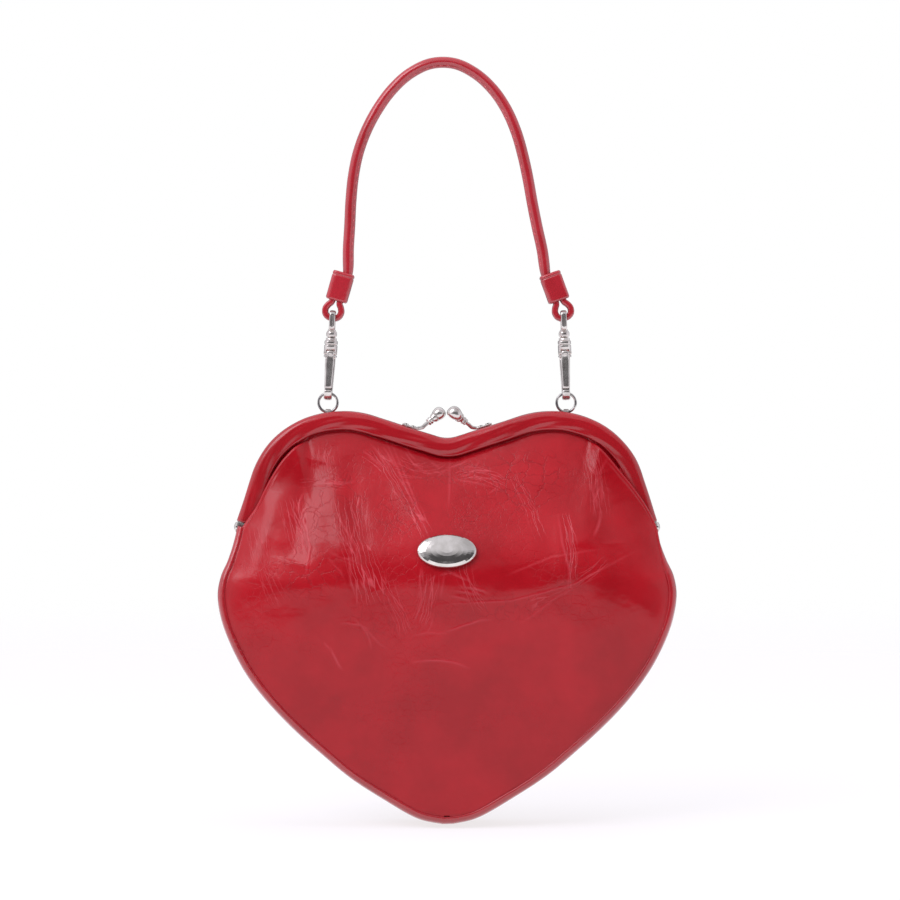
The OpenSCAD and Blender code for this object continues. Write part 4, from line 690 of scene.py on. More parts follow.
def gusset_points(steps, around, lift=0.0, drop_from=0.0, wavy=1.0, in_share=1.0):
    """Rows across the gusset from back seam to front seam, from the left hinge round the tip to the right one."""
    t = np.linspace(drop_from, 1, steps)
    side = np.concatenate([np.full(steps, -1.0), np.full(steps - 1, 1.0)])
    t = np.concatenate([t, t[-2::-1]])
    s, nrm, half = seam(t, lift), outline_normal(t), seam_depth(t) - SEAM_IN
    run = run_along(s)
    slack = ease(1 - np.abs(s[:, 1]) / SLACK_DROP)
    rows = []
    for q in np.linspace(-1, 1, around):
        out = SEAM_UP + (GUSSET_BULGE - 0.6) * (1 - abs(q) ** 7) ** 0.5
        sag = 1 - q ** 2
        # Pleats of about 32 mm, deeper where it is slack, over waves of about 80 mm
        pleats = 0.35 * np.sin(run / 5.1 + 1.5 * q) * (0.25 + slack) + 0.18 * np.sin(run / 13.0 + 2.0 * q)
        out = out - 2.4 * sag * slack + wavy * sag * pleats
        rows.append(np.stack([side * (s[:, 0] + nrm[:, 0] * out), half * q * in_share,
                              s[:, 1] + nrm[:, 1] * out], 1))
    return np.stack(rows)


def strip_halves(name, points, material, slot, thick, offset, rim_highlight, node):
    """The front and back halves of a strip between the panels."""
    middle = points.shape[0] // 2
    for word, half, near_seam in (("front", points[middle:], slice(-5, -2)),
                                  ("back", points[:middle + 1], slice(2, 5))):
        rows, cols = half.shape[:2]
        tone = np.zeros((rows, cols))
        # Rows next to the seam get a pale tone: a painted highlight along the strip's rim
        tone[near_seam] = rim_highlight
        piece = build(f"{word}_{name}", half, grid_faces(rows, cols), material, slot=slot, tone=tone)
        # The halves butt along the middle line: a sharp edge there keeps the shading even across it
        first = 0 if word == "front" else (rows - 1) * cols
        for edge in piece.data.edges:
            edge.use_edge_sharp = all(first <= corner < first + cols for corner in edge.vertices)
        wall = piece.modifiers.new("wall", "SOLIDIFY")
        wall.thickness, wall.offset = thick * MM, offset
        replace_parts(piece, node)
        if word == "front":
            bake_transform(piece)
        else:
            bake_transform(piece)


strip_halves("gusset_half", gusset_points(150 if fine else 100, 41), gusset_leather, "red_leather", thick=1.0,
             offset=1.0, rim_highlight=0.10, node="gusset")

# ---------------------------------------------------------------- lining and slip pocket
# A cotton twill bag hangs inside the leather one, sewn in at the frame: a front, a back and a strip between
# them. A flat pocket, open at the top, is sewn on its back.
def cotton_twill(name, dark, light):
    # Twill weave: its ribs are 0.5 mm apart at 60 degrees, drawn 1 mm apart so that they show, with slubs of
    # about 1.7 mm. It gives a dull, slightly striped red.
    mat, tree = new_material(name)
    place = add(tree, "ShaderNodeTexCoord").outputs["Object"]
    lean = add(tree, "ShaderNodeMapping", None, Vector=place, Rotation=(0.0, math.radians(60), 0.0))
    ribs = add(tree, "ShaderNodeTexWave", {"bands_direction": "X"}, Vector=lean.outputs[0], Scale=310.0,
               Distortion=0.6, Detail=1.0)
    slub = add(tree, "ShaderNodeTexNoise", None, Vector=place, Scale=600.0, Detail=2.0)
    mixed = add(tree, "ShaderNodeMath", {"operation": "MULTIPLY_ADD"}, i0=slub.outputs["Fac"], i1=0.5,
                i2=ribs.outputs["Fac"])
    colour = add(tree, "ShaderNodeValToRGB", {"stops": [(0.2, linear(dark)), (1.0, linear(light))]},
                 Fac=mixed.outputs[0])
    bump = add(tree, "ShaderNodeBump", None, Height=mixed.outputs[0], Distance=0.00012, Strength=0.7)
    cloth = add(tree, "ShaderNodeBsdfPrincipled", None, Base_Color=colour.outputs["Color"], Roughness=0.85,
                Sheen_Weight=0.06, Sheen_Roughness=0.5, IOR=1.46, Specular_IOR_Level=0.25)
    finish_material(tree, cloth, bump.outputs[0])
    return mat


twill = cotton_twill("cotton_twill_lining", "#5a1219", "#7f232b")


# The lining's share of the leather's width, how far inside it lies, how it is drawn up near the tip, and how
# close to the bag's middle it comes
LINING_WIDE, LINING_IN, TIP_FROM, TIP_SHARE, LEAST_DEPTH = 0.965, 2.6, -100, 0.93, 2.9


def lining_side(name, front):
    grid = panel_grid(121, 40, 90)[0]
    x, depth, z = grid[..., 0] * LINING_WIDE, grid[..., 1] - LINING_IN, grid[..., 2]
    z = np.where(z < TIP_FROM, TIP_FROM + (z - TIP_FROM) * TIP_SHARE, z)
    wrinkles = 0.5 * cloud(x, z, 41 if front else 47, 22) + 0.2 * cloud(x, z, 43 if front else 49, 9)
    depth = depth + ease((depth - 3.5) / 4) * wrinkles - 0.5
    pts = np.stack([x, np.maximum(depth, LEAST_DEPTH), z], 2)
    faces = grid_faces(*pts.shape[:2], turned=True)
    if not front:
        pts[..., 1] *= -1
        faces = faces[:, ::-1]
    obj = build(name, pts, faces, twill, slot="lining")
    cloth = obj.modifiers.new("cloth", "SOLIDIFY")
    cloth.thickness, cloth.offset = 0.5 * MM, -1.0
    return obj


front_lining = lining_side("front_lining_sheet", True)
back_lining = lining_side("back_lining_sheet", False)
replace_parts(front_lining, "front_lining_upper", "front_lining_lower")
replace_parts(back_lining, "back_lining_upper", "back_lining_lower")
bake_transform(front_lining)
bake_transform(back_lining)
strip_halves("gusset_lining_half", gusset_points(80, 21, lift=1.9, drop_from=0.022, wavy=1.3, in_share=0.985),
             twill, "lining", thick=0.5, offset=0.0, rim_highlight=0.0, node="gusset_lining")

# The pocket lies on the back lining, this far inside the leather; its mouth stands off a little and hangs down
POCKET_W, POCKET_H, POCKET_TOP, POCKET_COLS, POCKET_ROWS = 96, 54, -28, 61, 34
POCKET_IN, MOUTH_OFF, MOUTH_SAG = 3.9, 1.6, 1.2
pocket_x = np.linspace(-POCKET_W / 2, POCKET_W / 2, POCKET_COLS)
arch = 1 - (pocket_x / (POCKET_W / 2)) ** 2
down = np.linspace(0, 1, 200)
pocket_rows = []
for share in np.linspace(0, 1, POCKET_ROWS):
    z = POCKET_TOP - POCKET_H * share
    t = np.interp(-z, -seam(down)[:, 1], down)
    half = seam(np.array([t]))[0, 0]
    depth = crown(np.full(POCKET_COLS, t), pocket_x / half * 0.98) - POCKET_IN
    mouth = (1 - share) ** 2 * MOUTH_OFF * arch
    pocket_rows.append(np.stack([pocket_x, mouth - depth, z - MOUTH_SAG * (1 - share) * arch], 1))
pocket = build("slip_pocket_cloth", pocket_rows, grid_faces(POCKET_ROWS, POCKET_COLS), twill, slot="lining")
cloth = pocket.modifiers.new("cloth", "SOLIDIFY")
cloth.thickness, cloth.offset = 0.7 * MM, 0.0
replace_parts(pocket, "slip_pocket")
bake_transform(pocket)

# ---------------------------------------------------------------- frame
# Two hinged U-channels of nickelled steel. Each is covered in the same leather, skived thin, glued on wet
# and turned under at the edges, so the cover is smooth, tight and a little domed.
def nickel(name, tint, rough, scratch=0.00001, solid=1.0):
    # Polished nickel plate: warm white metal that mirrors the room. Its haze lies in spots of 1 mm and its tint in
    # patches of 3 mm. The polish marks, 0.25 mm wide and 2 mm long, are coarser than real so that they show.
    mat, tree = new_material(name)
    place = add(tree, "ShaderNodeTexCoord").outputs["Object"]
    haze = add(tree, "ShaderNodeTexNoise", None, Vector=place, Scale=900.0, Detail=2.0)
    level = add(tree, "ShaderNodeMapRange", None, Value=haze.outputs["Fac"], i1=0.3, i2=0.7, i3=rough * 0.7,
                i4=rough * 1.5)
    stretch = add(tree, "ShaderNodeMapping", None, Vector=place, Scale=(4000.0, 4000.0, 500.0))
    marks = add(tree, "ShaderNodeTexNoise", None, Vector=stretch.outputs[0], Scale=1.0, Detail=1.0)
    dull = add(tree, "ShaderNodeTexNoise", None, Vector=place, Scale=320.0, Detail=1.0)
    colour = add(tree, "ShaderNodeValToRGB", {"stops": [(0.35, linear(tint)), (0.7, linear("#e9e6e1"))]},
                 Fac=dull.outputs["Fac"])
    bump = add(tree, "ShaderNodeBump", None, Height=marks.outputs["Fac"], Distance=scratch, Strength=0.4)
    metal = add(tree, "ShaderNodeBsdfPrincipled", None, Base_Color=colour.outputs["Color"], Metallic=solid,
                Roughness=level.outputs[0])
    finish_material(tree, metal, bump.outputs[0])
    return mat


bright_nickel = nickel("polished_nickel_plate", "#d9d6d0", 0.09)
cast_nickel = nickel("tumbled_nickel_casting", "#c9c3bf", 0.12, solid=0.9)
smoky_nickel = nickel("black_nickel_rings", "#8d8b8c", 0.14)
plated_steel = nickel("nickelled_steel_channel", "#b9b7b2", 0.24, 0.00003)


def coat_node(node, material, bevel=0.0):
    """Gives a CAD node its finish, and softens its edges."""
    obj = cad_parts[node]
    obj.data.materials.clear()
    obj.data.materials.append(material)
    if bevel:
        edge = obj.modifiers.new("edge", "BEVEL")
        edge.width, edge.segments, edge.limit_method, edge.angle_limit = bevel * MM, 2, "ANGLE", math.radians(35)
        edge.harden_normals = True


for node in ("front_channel", "back_channel"):
    coat_node(node, plated_steel)

frame_leather = glazed_calf("glazed_calf_frame", "#900814", "#9e0d1a", ripple=0.5, net=0.5, gloss=1.64)
COVER_T, DOME, HIDE_WAVE = 0.75, 0.22, 0.05  # the cover's wall, how far its face domes, and how much it waves


def arc_pts(mid, r, start, end, count):
    a = np.radians(np.linspace(start, end, count))
    return np.stack([mid[0] + r * np.cos(a), mid[1] + r * np.sin(a)], 1)


def band_section():
    """Outer and inner outlines of the cover across the band: [distance inwards, depth]."""
    dome = [(d, FACE + DOME * math.sin(math.pi * (d - 3.0) / (BAND_H - 4.0)))
            for d in np.linspace(3.2, BAND_H - 1.1, 9)]
    outer = np.concatenate([
        [(BAND_H + 0.1, MATE + 0.55), (BAND_H - 0.25, MATE + 0.1)], [(d, MATE) for d in (BAND_H - 1.5, 5.0, 3.2)],
        arc_pts((1.8, MATE + 1.8), 1.8, 270, 180, 7), [(0.0, MATE + d) for d in (2.6, 3.6)],
        arc_pts((2.9, FACE - 2.9), 2.9, 180, 90, 11), dome,
        arc_pts((BAND_H - 0.9, FACE - 0.9), 0.95, 82, -20, 7),
    ])
    d = unit(np.gradient(outer, axis=0))
    n = np.stack([-d[:, 1], d[:, 0]], 1) * COVER_T
    spread = [np.linalg.norm(pts - outer.mean(axis=0), axis=1).mean() for pts in (outer + n, outer)]
    return outer, outer - n if spread[0] > spread[1] else outer + n


def band_line(step=0.9):
    right = frame_right(step)
    left = right[:0:-1].copy()
    left[:, 0] *= -1
    left[:, 2] *= -1
    return np.concatenate([left, right])


def frame_cover(name, sign, body):
    line = band_line()
    outer, inner = band_section()
    h = np.radians(line[:, 2])
    run = run_along(line[:, :2])
    rings = []
    for number, (d, v) in enumerate(np.concatenate([outer, inner[::-1]])):
        # The hide waves a little, on the outside only
        wave = (number < len(outer)) * HIDE_WAVE * (np.sin(run / 7.3 + d) + np.sin(run / 3.1 + 2 * d + v))
        rings.append(np.stack([line[:, 0] + (d + wave) * np.sin(h), sign * (v + wave),
                               line[:, 1] - (d + wave) * np.cos(h)], 1))
    g = np.stack(rings + rings[:1])
    rows, cols = g.shape[:2]
    faces = list(grid_faces(rows, cols, turned=sign > 0))
    m = len(outer)
    faces += [[k * cols + end, (k + 1) * cols + end, (2 * m - 2 - k) * cols + end, (2 * m - 1 - k) * cols + end]
              for end in (0, cols - 1) for k in range(m - 1)]
    return build(name, g, faces, frame_leather, body, close=True)


front_cover = frame_cover("front_frame_cover", 1, "front_frame")
back_cover = frame_cover("back_frame_cover", -1, "back_frame")
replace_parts(front_cover, "front_frame_leather")
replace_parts(back_cover, "back_frame_leather")

# Kraft paper, twisted in three plies: it gives a dull, fibrous tan. It packs the panel's edge into each channel.
def kraft_cord(name):
    # Fibres of about 0.5 mm
    mat, tree = new_material(name)
    place = add(tree, "ShaderNodeTexCoord").outputs["Object"]
    fibre = add(tree, "ShaderNodeTexNoise", None, Vector=place, Scale=1800.0, Detail=3.0, Roughness=0.7)
    colour = add(tree, "ShaderNodeValToRGB", {"stops": [(0.3, linear("#a58c63")), (0.7, linear("#d3bf97"))]},
                 Fac=fibre.outputs["Fac"])
    bump = add(tree, "ShaderNodeBump", None, Height=fibre.outputs["Fac"], Distance=0.00008, Strength=0.8)
    paper = add(tree, "ShaderNodeBsdfPrincipled", None, Base_Color=colour.outputs["Color"], Roughness=0.9, IOR=1.5)
    finish_material(tree, paper, bump.outputs[0])
    return mat


kraft = kraft_cord("twisted_kraft_paper")
PAPER_R, CHANNEL_IN = 1.9, 1.8


def closed_tube(rows_along):
    """Points and faces of a tube from rows that run along it, with a middle point in each end."""
    g = np.stack(rows_along + rows_along[:1])
    rows, cols = g.shape[:2]
    pts = np.concatenate([g.reshape(-1, 3), [g[:-1, 0].mean(axis=0)], [g[:-1, -1].mean(axis=0)]])
    faces = [list(f) for f in grid_faces(rows, cols)]
    n = rows * cols
    for k in range(rows - 1):
        faces.append([n, k * cols, (k + 1) * cols])
        faces.append([n + 1, (k + 1) * cols + cols - 1, k * cols + cols - 1])
    return pts, faces


def twisted(name, mids, headings, radius, depth_mid, material, body, pitch=9.0, around=21):
    """A three-ply cord along a line of [x, z] with headings in radians, at one depth."""
    run = run_along(mids)
    rings = []
    for a in 2 * math.pi * np.arange(around) / around:
        r = radius * (0.84 + 0.16 * np.abs(np.cos(1.5 * (a + 2 * math.pi * run / pitch))))
        up, side = r * math.cos(a), r * math.sin(a)
        rings.append(np.stack([mids[:, 0] + up * -np.sin(headings), depth_mid + side,
                               mids[:, 1] + up * np.cos(headings)], 1))
    pts, faces = closed_tube(rings)
    return build(name, pts, faces, material, body, slot="cord", close=True)


line = band_line(1.1)
mids = inward(line, CHANNEL_IN + PAPER_R + 0.1)
for name, sign, body, node in (("front_packing_cord", 1, "front_frame", "front_paper_cord"),
                               ("back_packing_cord", -1, "back_frame", "back_paper_cord")):
    cord = twisted(name, mids, np.radians(line[:, 2]), PAPER_R, sign * (MATE + BAND_D / 2), kraft, body)
    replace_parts(cord, node)

# ---------------------------------------------------------------- hinge rivets
# Turned brass rivets with domed heads, nickel plated. Each goes through the two ears of its side, one from each
# channel, and is closed over a little loose, so that the frame turns on it.
for node in ("left_hinge_pin", "right_hinge_pin"):
    coat_node(node, bright_nickel, 0.12)

# ---------------------------------------------------------------- clasp
# Kiss-lock clasp: on each half a cast drop above two beads, on an arm that bends out of a flat foot, which two
# rivets hold to the channel. The drops cross over, so that they snap past each other.
def capped(sections):
    """A closed loft of rings of points, with a flat face at both ends."""
    g = np.asarray(sections, float)
    rows, cols = g.shape[:2]
    faces = [[r * cols + c, r * cols + (c + 1) % cols, (r + 1) * cols + (c + 1) % cols, (r + 1) * cols + c]
             for r in range(rows - 1) for c in range(cols)]
    faces += [list(range(cols))[::-1], [(rows - 1) * cols + c for c in range(cols)]]
    return g.reshape(-1, 3), faces


def squared(c, power):
    """Sines or cosines pushed towards a square's: power 1 keeps the circle."""
    return np.sign(c) * np.abs(c) ** power


def swept(path, half_t, half_w, power, across=(0, 1, 0), around=28):
    """Rings round a path of [x, depth, z]: half-thickness, half-width along across, and power as in squared."""
    path, across = np.asarray(path, float), np.array(across, float)
    way = unit(np.gradient(path, axis=0))
    w_dir = unit(across - way * (way @ across)[:, None])
    t_dir = np.cross(way, w_dir)
    a = np.linspace(0, 2 * math.pi, around, endpoint=False)
    half_t, half_w = [np.broadcast_to(half, len(path))[:, None] for half in (half_t, half_w)]
    out, side = (half_t * squared(np.cos(a), power))[..., None], (half_w * squared(np.sin(a), power))[..., None]
    return path[:, None] + t_dir[:, None] * out + w_dir[:, None] * side


def joined(*meshes):
    """Several (points, faces) as one."""
    pts, faces, first = [], [], 0
    for p, f in meshes:
        pts.append(np.asarray(p).reshape(-1, 3))
        faces += [[first + int(i) for i in face] for face in f]
        first += len(pts[-1])
    return np.concatenate(pts), faces


# Each foot lies on the frame's straight run: where that starts past the dip, its slope, and the foot's depth
RUN_X, RUN_Z, RUN_SLOPE, FOOT_V = 4.326, 0.6854, math.radians(18), 3.45
DIP_Z = frame_right()[0, 1]
BALL_MID, ARM_START = np.array([3.4, -1.2, DIP_Z + 10.8]), np.array([12.414, FOOT_V, DIP_Z + 3.786])
# Outlines of the two drops: angle from the middle of the bag's side, and radius
DROP_HALF_DEPTH, DROP_AROUND = 3.15, 48
DROPS = {
    -1: [(5, 2.85), (30, 2.72), (57, 2.72), (85, 2.98), (110, 3.08), (140, 3.0), (175, 3.3), (205, 3.75),
         (232, 3.7), (258, 3.05), (285, 2.72), (315, 2.62), (342, 2.76)],
    1: [(14, 3.72), (32, 3.5), (55, 3.4), (82, 3.5), (108, 3.3), (135, 3.05), (165, 3.1), (198, 3.7),
        (224, 3.75), (250, 3.1), (280, 2.62), (310, 2.55), (340, 3.0)],
}


def on_run(along_run, up):
    return [RUN_X + along_run * math.cos(RUN_SLOPE) - up * math.sin(RUN_SLOPE), FOOT_V,
            DIP_Z + RUN_Z + along_run * math.sin(RUN_SLOPE) + up * math.cos(RUN_SLOPE)]


def drop_mesh(side):
    table = np.array(DROPS[side])
    angle = np.linspace(0, 360, DROP_AROUND, endpoint=False)
    known = np.concatenate([table[:, 0] + turn for turn in (-360, 0, 360)])
    radius = np.interp(angle, known, np.tile(table[:, 1], 3))
    for _ in range(2):
        radius = (np.roll(radius, 1) + 2 * radius + np.roll(radius, -1)) / 4
    rings = []
    for v in np.linspace(-1, 1, 25):
        turn = v * math.pi / 2 * 0.985
        size = math.cos(turn) ** 0.92
        rings.append(np.stack([BALL_MID[0] - radius * size * np.cos(np.radians(angle)),
                               np.full(DROP_AROUND, BALL_MID[1] + DROP_HALF_DEPTH * math.sin(turn)),
                               BALL_MID[2] + radius * size * np.sin(np.radians(angle))], 1))
    # Two beads under the drop, as shares of the way from the arm to the drop's middle, and their radii
    reach = np.linalg.norm(BALL_MID - ARM_START)
    stops = np.array([0.42, 0.44, 0.455, 0.475, 0.495, 0.51, 0.52, 0.535, 0.56, 0.58, 0.60, 0.615, 0.66, 0.72,
                      0.8])
    beads = np.array([0.7, 1.2, 1.5, 1.62, 1.55, 1.3, 1.25, 1.5, 1.72, 1.7, 1.5, 1.3, 1.6, 2.1, 2.3])
    stem = swept(ARM_START + (stops * reach)[:, None] * ((BALL_MID - ARM_START) / reach), beads, beads, 1.0)
    return joined(capped(rings), capped(stem))


def arm_mesh():
    to_ball = BALL_MID - ARM_START
    path = [on_run(*place) for place in ((16.5, 0.55), (16.3, 0.55), (14.5, 0.5), (12.3, 0.5), (10.4, 0.62),
                                         (9.2, 0.95))]
    path += [ARM_START + 0.16 * to_ball + (0, 0, -0.15), ARM_START + 0.3 * to_ball, ARM_START + 0.46 * to_ball]
    t = np.linspace(0, 1, 45)
    thin = through([0.2, 0.45, 0.45, 0.46, 0.55, 0.72, 0.82, 0.85, 0.85], t)
    wide = through([0.9, 1.4, 1.5, 1.5, 1.4, 1.15, 0.95, 0.88, 0.85], t)
    return capped(swept(through(path, t), thin, wide, 0.62))


for half, sign, body in (("front", -1, "front_frame"), ("back", 1, "back_frame")):
    for part, (pts, faces) in (("ball", drop_mesh(sign)), ("arm", arm_mesh())):
        pts = pts * (sign, -sign, 1)
        piece = build(f"{half}_clasp_{part}_casting", pts, faces, cast_nickel, body, slot="nickel", close=True)
        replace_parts(piece, f"{half}_clasp_{part}")
    coat_node(f"{half}_clasp_rivets", bright_nickel, 0.1)

# ---------------------------------------------------------------- rings and their lugs
# Plain rings of steel wire in darker nickel, butted and brazed shut. Each hangs in a small steel lug, which is
# brazed to the top of the back channel and comes out through the leather.
for node in ("left_ring", "right_ring"):
    coat_node(node, smoky_nickel)
for node in ("left_ring_lug", "right_ring_lug"):
    coat_node(node, plated_steel, 0.1)

# ---------------------------------------------------------------- snap hooks
# Die-cast swivel hooks, tumbled and nickel plated. A sprung gate on a pin closes the crook, and the eye's post
# turns in the barrel above it, so that the handle hangs straight.
# Where the hooks hold the rings and how they lean in degrees; then the crook's bore, bar and middle, the barrel's
# half-width and half-depth, and the half-width and floor of the gate's pocket in it
RING_X, RING_Y, HOOK_Z, HOOK_LEAN = 53, 1.1, 59.618, {-1: 3.5, 1: -2}
CROOK_R, CROOK_T, CROOK_MID = 2.5, 1.4, 0.8
BARREL_W, BARREL_D, GATE_ROOM, GATE_FLOOR, BARREL_AROUND = 2.9, 3.9, 1.95, 0.9, 72


def on_hook(side, pts):
    """A hook's own [sideways, towards the front, up] as [x, depth, z]."""
    a = math.radians(HOOK_LEAN[side])
    p = np.asarray(pts, float)
    return np.stack([side * RING_X + p[..., 0] * math.cos(a) + p[..., 2] * math.sin(a), p[..., 1] - RING_Y,
                     HOOK_Z - p[..., 0] * math.sin(a) + p[..., 2] * math.cos(a)], -1)


def hook_mesh():
    mid_r = CROOK_R + CROOK_T / 2
    path = [(0, -mid_r, z) for z in (16.6, 14.5, 12, 9, 6, 3.5, 2)]
    path += [(0, y, z) for y, z in arc_pts((0, CROOK_MID), mid_r, 180, 360, 25)]
    path += [(0, mid_r, 1.15), (0, mid_r, 1.38)]
    wide = np.concatenate([[2.35, 2.35, 2.25, 2.15, 2.05, 1.95, 1.88], np.linspace(1.85, 1.7, 25), [1.6, 1.2]])
    thick = np.concatenate([np.full(31, 0.72), [0.7, 0.7, 0.45]])
    crook = capped(swept(path, thick, wide, 0.66, across=(1, 0, 0)))
    # Barrel, by height, size and whether the gate's pocket is there: two grooves, and a neck above
    steps = [(16.0, 0.9, 1), (16.06, 0.96, 1), (16.2, 0.985, 1), (16.8, 0.985, 1), (16.92, 0.9, 1),
             (17.15, 0.9, 1), (17.28, 0.985, 1), (17.5, 1, 1), (19.2, 1, 1), (19.3, 1, 0), (21.2, 1, 0),
             (21.35, 0.985, 0), (21.45, 0.9, 0), (21.7, 0.9, 0), (21.82, 0.985, 0), (22.0, 1, 0), (23.0, 1, 0),
             (23.25, 0.975, 0), (23.38, 0.93, 0), (23.4, 0.88, 0)]
    a = np.linspace(0, 2 * math.pi, BARREL_AROUND, endpoint=False)
    c, q = np.cos(a), np.sin(a)
    x, front = BARREL_W * squared(c, 0.7), BARREL_D * squared(q, 0.7)
    open_front = (np.abs(x) < GATE_ROOM) & (front > 0)
    rings = []
    for up, size, pocket in steps:
        ring = np.stack([x * size, front * size, np.full(BARREL_AROUND, up)], 1)
        if pocket:
            ring[open_front, 0] = np.clip(x[open_front] * 1.02, -GATE_ROOM, GATE_ROOM)
            ring[open_front, 1] = GATE_FLOOR
        rings.append(ring)
    neck = ((23.42, 2.4), (24.4, 2.4), (24.55, 2.3), (24.6, 2.1))
    rings += [np.stack([r * c, r * q, np.full(BARREL_AROUND, up)], 1) for up, r in neck]
    return joined(crook, capped(rings))


def gate_mesh():
    heights = (2.2, 2.26, 2.5, 3.2, 5, 7, 9, 11, 13, 14.6, 15.3, 15.8, 17, 18, 18.7, 18.95)
    wide = [1.0, 1.3, 1.5, 1.6, 1.66, 1.72, 1.78, 1.84, 1.9, 1.92, 1.84, 1.7, 1.7, 1.7, 1.6, 1.2]
    thick = [0.45, 0.6, 0.68] + [0.72] * 9 + [0.85, 1.05, 0.9, 0.5]
    path = [(0, CROOK_R + CROOK_T / 2, z) for z in heights]
    return capped(swept(path, thick, wide, 0.9, across=(1, 0, 0), around=32))


def eye_mesh():
    """Loop of flat wire with a groove down its front, over a turned knuckle and the post."""
    corner, half_d, low, high = 1.6, 4.4, 28.45, 36.15
    wire_w, wire_t, groove_deep, groove_w = 1.3, 0.75, 0.42, 0.34
    loop = np.concatenate([arc_pts(mid, corner, start, start + 90, 7) for mid, start in (
        ((half_d - corner, high - corner), 0), ((-half_d + corner, high - corner), 90),
        ((-half_d + corner, low + corner), 180), ((half_d - corner, low + corner), 270))])
    loop = np.column_stack([np.zeros(len(loop)), loop])
    loop = along(np.concatenate([loop, loop[:1]]), 97)[:-1]
    way = unit(np.roll(loop, -1, axis=0) - np.roll(loop, 1, axis=0))
    out = np.stack([np.zeros(96), way[:, 2], -way[:, 1]], 1)
    grooved = (np.abs(loop[:, 1]) > 3.6) * ease((loop[:, 2] - 29.6) / 0.8) * ease((35.2 - loop[:, 2]) / 0.8)
    a = np.linspace(0, 2 * math.pi, 32, endpoint=False)
    rings = []
    for turn in a:
        side, off = wire_w * squared(math.sin(turn), 0.7), wire_t * squared(math.cos(turn), 0.7)
        groove = groove_deep * math.exp(-((side / groove_w) ** 2)) * (off > 0) * grooved
        rings.append(loop + out * (off - groove)[:, None] + np.array([side, 0, 0]))
    g = np.stack(rings + rings[:1])
    g = np.concatenate([g, g[:, :1]], 1)
    profile = [(20.95, 0.6), (21.0, 1.6), (21.6, 1.6), (21.65, 1.15), (24.62, 1.15), (24.7, 1.55), (25.0, 2.0),
               (25.5, 2.3), (26.3, 2.42), (27.1, 2.3), (27.6, 2.0), (27.9, 1.75), (28.3, 1.7), (28.5, 1.2)]
    knuckle = [[(r * math.cos(k), r * math.sin(k), up) for k in a] for up, r in profile]
    return joined((g.reshape(-1, 3), grid_faces(33, 97)), capped(knuckle))


for side, word in ((-1, "left"), (1, "right")):
    for part, turns_with, (pts, faces) in (("hook_body", "hook", hook_mesh()), ("gate", "gate", gate_mesh()),
                                           ("swivel_eye", "eye", eye_mesh())):
        piece = build(f"{word}_{part}_casting", on_hook(side, pts), faces, cast_nickel, f"{word}_{turns_with}",
                      slot="nickel", close=True)
        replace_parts(piece, f"{word}_{part}")
    for part in ("gate_pin", "gate_spring"):
        coat_node(f"{word}_{part}", bright_nickel)

# ---------------------------------------------------------------- handle
# A strap of the same leather rolled round a cotton cord and stitched along its inner side. Its flat ends pass
# through the swivel eyes and come back up under the keepers.
GRIP_Z = -HINGE_Z / MM
KEEPER_LEN, LOOP_LEN, LOOP_HALF_W, TAB_T, TAB_W, ROLL_T, ROLL_W = 13, 8.0, 3.7, 2.8, 6.4, 4.6, 5.4
KEEPER_LEAN, KEEPER_ROOM = {-1: 16, 1: -20}, 0.3
TAIL_V = (TAB_T + KEEPER_ROOM) / 2
keeper_mid = {}
for side, node in ((-1, "left_keeper"), (1, "right_keeper")):
    low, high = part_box(node)
    keeper_mid[side] = np.array([(low[0] + high[0]) / 2 / MM, ((low[2] + high[2]) / 2 - HINGE_Z) / MM])


def in_keeper(side, v, w):
    a = math.radians(KEEPER_LEAN[side])
    return keeper_mid[side] + v * np.array([math.cos(a), -math.sin(a)]) + w * np.array([math.sin(a), math.cos(a)])


# The loop below a keeper and the arch above it, as shares of their half-widths and heights
LOOP = [(0.5, 0.12), (0.78, 0.32), (0.97, 0.56), (0.84, 0.82), (0.45, 0.97), (0, 1)]
ARCH = [(-1, 0), (-0.996, 0.114), (-0.982, 0.227), (-0.97, 0.341), (-0.946, 0.454), (-0.898, 0.565),
        (-0.815, 0.672), (-0.701, 0.772), (-0.557, 0.864), (-0.378, 0.94), (-0.16, 0.988), (0.08, 0.988),
        (0.297, 0.939), (0.475, 0.862), (0.609, 0.768), (0.705, 0.664), (0.772, 0.555), (0.823, 0.445),
        (0.866, 0.333), (0.914, 0.222), (0.966, 0.112), (1, 0)]


def loop_side(side, way):
    return [in_keeper(side, way * max(wide * LOOP_HALF_W, TAIL_V if down < 0.2 else 0),
                      -KEEPER_LEN / 2 - down * LOOP_LEN) for wide, down in LOOP]


def tail(side, way):
    return [in_keeper(side, way * TAIL_V, 0.42 * KEEPER_LEN), in_keeper(side, way * TAIL_V, 0),
            in_keeper(side, way * TAIL_V, -KEEPER_LEN * 0.35)]


left_top, right_top = in_keeper(-1, TAIL_V, KEEPER_LEN / 2), in_keeper(1, -TAIL_V, KEEPER_LEN / 2)


def arch_point(p):
    mid, half = (left_top[0] + right_top[0]) / 2, (right_top[0] - left_top[0]) / 2
    low_z = left_top[1] + (right_top[1] - left_top[1]) * (p[0] + 1) / 2
    high_z = GRIP_Z + ROLL_T / 2
    return np.array([mid + half * p[0], low_z + (high_z - low_z) * p[1] / 0.996])


